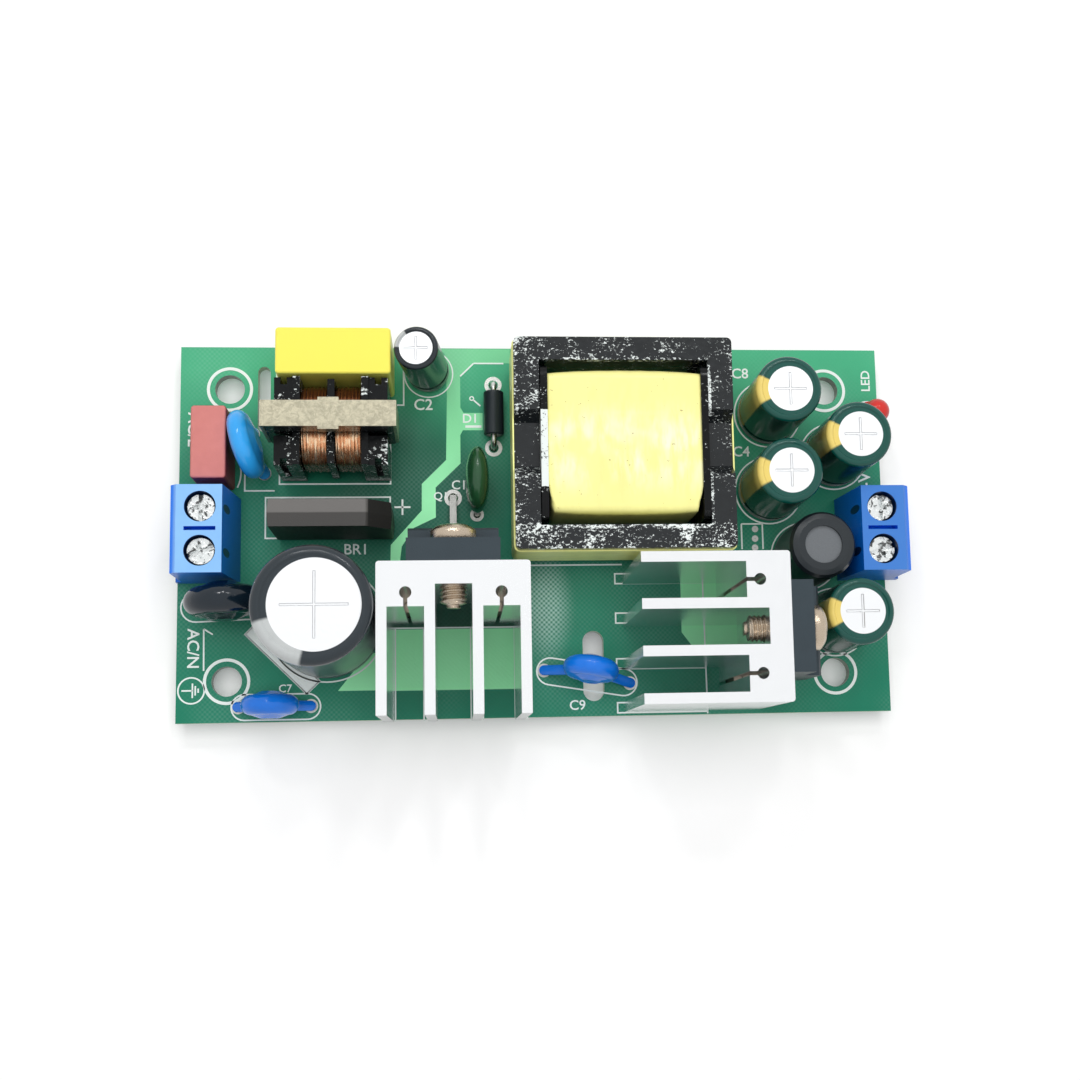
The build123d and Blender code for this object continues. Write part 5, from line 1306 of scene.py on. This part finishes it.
class SUPPLY_OT_stage(Operator):
    """White floor, soft light and the photograph's camera"""

    bl_idname = "supply.stage"
    bl_label = "Stage and camera"

    def execute(self, context):
        look = settings("stage")
        scene = context.scene
        scene.view_settings.view_transform = "Standard"
        self.world(scene, look)
        self.floor(look)
        self.lamp("overhead", (0.0, 0.03, 0.55), 0.42, look.overhead, False)
        for k, (x, y) in enumerate(((-0.09, 0.21), (-0.02, 0.27), (0.07, 0.21))):
            self.lamp(f"spark_{k}", (x, y, 0.32), 0.036, look.spark)
        self.camera(scene, look)
        return {"FINISHED"}

    def world(self, scene, look):
        world = bpy.data.worlds.new("surroundings")
        scene.world = world
        world.use_nodes = True
        tree = world.node_tree
        back = next(n for n in tree.nodes if n.type == "BACKGROUND")
        back.inputs["Color"].default_value = (1, 1, 1, 1)
        path = tree.nodes.new("ShaderNodeLightPath")
        seen = path.outputs["Is Camera Ray"]
        for other in ("Is Glossy Ray", "Is Transmission Ray"):
            add = tree.nodes.new("ShaderNodeMath")
            add.operation = "MAXIMUM"
            tree.links.new(seen, add.inputs[0])
            tree.links.new(path.outputs[other], add.inputs[1])
            seen = add.outputs[0]
        strength = tree.nodes.new("ShaderNodeMapRange")
        strength.inputs["To Min"].default_value = look.sky
        strength.inputs["To Max"].default_value = 1.0
        tree.links.new(seen, strength.inputs["Value"])
        tree.links.new(strength.outputs[0], back.inputs["Strength"])

    def floor(self, look):
        """A pale floor that takes the shadow, is plain white farther out, and can be seen through
        from below."""
        size, low = 900.0, -2.25
        s = Surface("floor", look.floor_colour)
        tree = s.tree
        tree.nodes.remove(s.shader)
        x, y, z = s.axes(s.place())
        path = s.node("ShaderNodeLightPath").outputs
        seen = s.either(path["Is Camera Ray"], s.either(path["Is Glossy Ray"], path["Is Transmission Ray"]))
        far = s.above(s.radius(x, s.sum("MULTIPLY", y, 1.3)), 135.0, 75.0)
        matt = s.node("ShaderNodeBsdfDiffuse", {"Color": look.floor_colour})
        glow = s.node("ShaderNodeEmission", {"Strength": s.sum("MULTIPLY", seen, look.floor_glow)})
        near = s.node("ShaderNodeAddShader", {0: matt.outputs[0], 1: glow.outputs[0]})
        white = s.node("ShaderNodeEmission", {"Strength": 1.0})
        top = s.node("ShaderNodeMixShader", {0: s.both(far, seen), 1: near.outputs[0], 2: white.outputs[0]})
        clear = s.node("ShaderNodeBsdfTransparent")
        below = s.node("ShaderNodeNewGeometry").outputs["Backfacing"]
        either = s.node("ShaderNodeMixShader", {0: below, 1: top.outputs[0], 2: clear.outputs[0]})
        output = next(n for n in tree.nodes if n.type == "OUTPUT_MATERIAL")
        tree.links.new(either.outputs[0], output.inputs["Surface"])
        mesh = bpy.data.meshes.new("floor")
        points = np.array(box_path(-size, -size, size, size)) * MM
        mesh.from_pydata(np.column_stack((points, np.full(4, low * MM))).tolist(), [], [(0, 1, 2, 3)])
        mesh.materials.append(s.material)
        floor = bpy.data.objects.new("floor", mesh)
        bpy.context.scene.collection.objects.link(floor)

    def lamp(self, name, place, size, power, mirrored=True):
        """A square lamp that faces the board's middle, and shows in glossy surfaces or not."""
        data = bpy.data.lights.new(name, "AREA")
        data.shape, data.size, data.energy = "SQUARE", size, power
        lamp = bpy.data.objects.new(name, data)
        lamp.location = place
        lamp.visible_glossy = mirrored
        lamp.rotation_euler = (-Vector(place)).to_track_quat("-Z", "Y").to_euler()
        bpy.context.scene.collection.objects.link(lamp)

    def camera(self, scene, look):
        data = bpy.data.cameras.new("camera")
        data.sensor_width, data.lens = 36.0, look.lens
        data.shift_x, data.shift_y = -0.0650, 0.0175
        data.clip_start, data.clip_end = 0.005, 10
        camera = bpy.data.objects.new("camera", data)
        across = Vector((0.99507891, -0.02180232, 0.09665724))
        up = Vector((0.00833233, 0.99044892, 0.13762817))
        back = Vector((-0.09873467, -0.13614551, 0.98575649))
        turn = Matrix((across, up, back)).transposed().to_4x4()
        camera.matrix_world = Matrix.Translation(Vector((-9.5, -29.04, 187.29)) * MM) @ turn
        bpy.context.scene.collection.objects.link(camera)
        scene.camera = camera


OPERATORS = [
    SUPPLY_OT_board, SUPPLY_OT_marks, SUPPLY_OT_labels, SUPPLY_OT_pads,
    SUPPLY_OT_underside, SUPPLY_OT_terminals,
    SUPPLY_OT_input_parts, SUPPLY_OT_choke, SUPPLY_OT_cans, SUPPLY_OT_heatsinks, SUPPLY_OT_screws,
    SUPPLY_OT_transformer, SUPPLY_OT_small_parts, SUPPLY_OT_stage,
]


class SUPPLY_PT_panel(Panel):
    """Lists every piece's operator and the settings"""

    bl_idname = "SUPPLY_PT_panel"
    bl_label = "Power supply module"
    bl_space_type = "VIEW_3D"
    bl_region_type = "UI"
    bl_category = "Supply"

    def draw(self, context):
        for operator in OPERATORS:
            self.layout.operator(operator.bl_idname)
        for key, group in SETTINGS.items():
            box = self.layout.box()
            box.label(text=group.__name__)
            for name in group.__annotations__:
                box.prop(getattr(context.scene, key), name)


def register():
    for group in SETTINGS.values():
        bpy.utils.register_class(group)
    for key, group in SETTINGS.items():
        setattr(bpy.types.Scene, key, PointerProperty(type=group))
    for made in (*OPERATORS, SUPPLY_PT_panel):
        bpy.utils.register_class(made)


def unregister():
    for made in reversed((*OPERATORS, SUPPLY_PT_panel)):
        bpy.utils.unregister_class(made)
    for key, group in SETTINGS.items():
        delattr(bpy.types.Scene, key)
        bpy.utils.unregister_class(group)


def main():
    register()
    for operator in OPERATORS:
        family, name = operator.bl_idname.split(".")
        getattr(getattr(bpy.ops, family), name)()


if __name__ == "__main__":
    main()
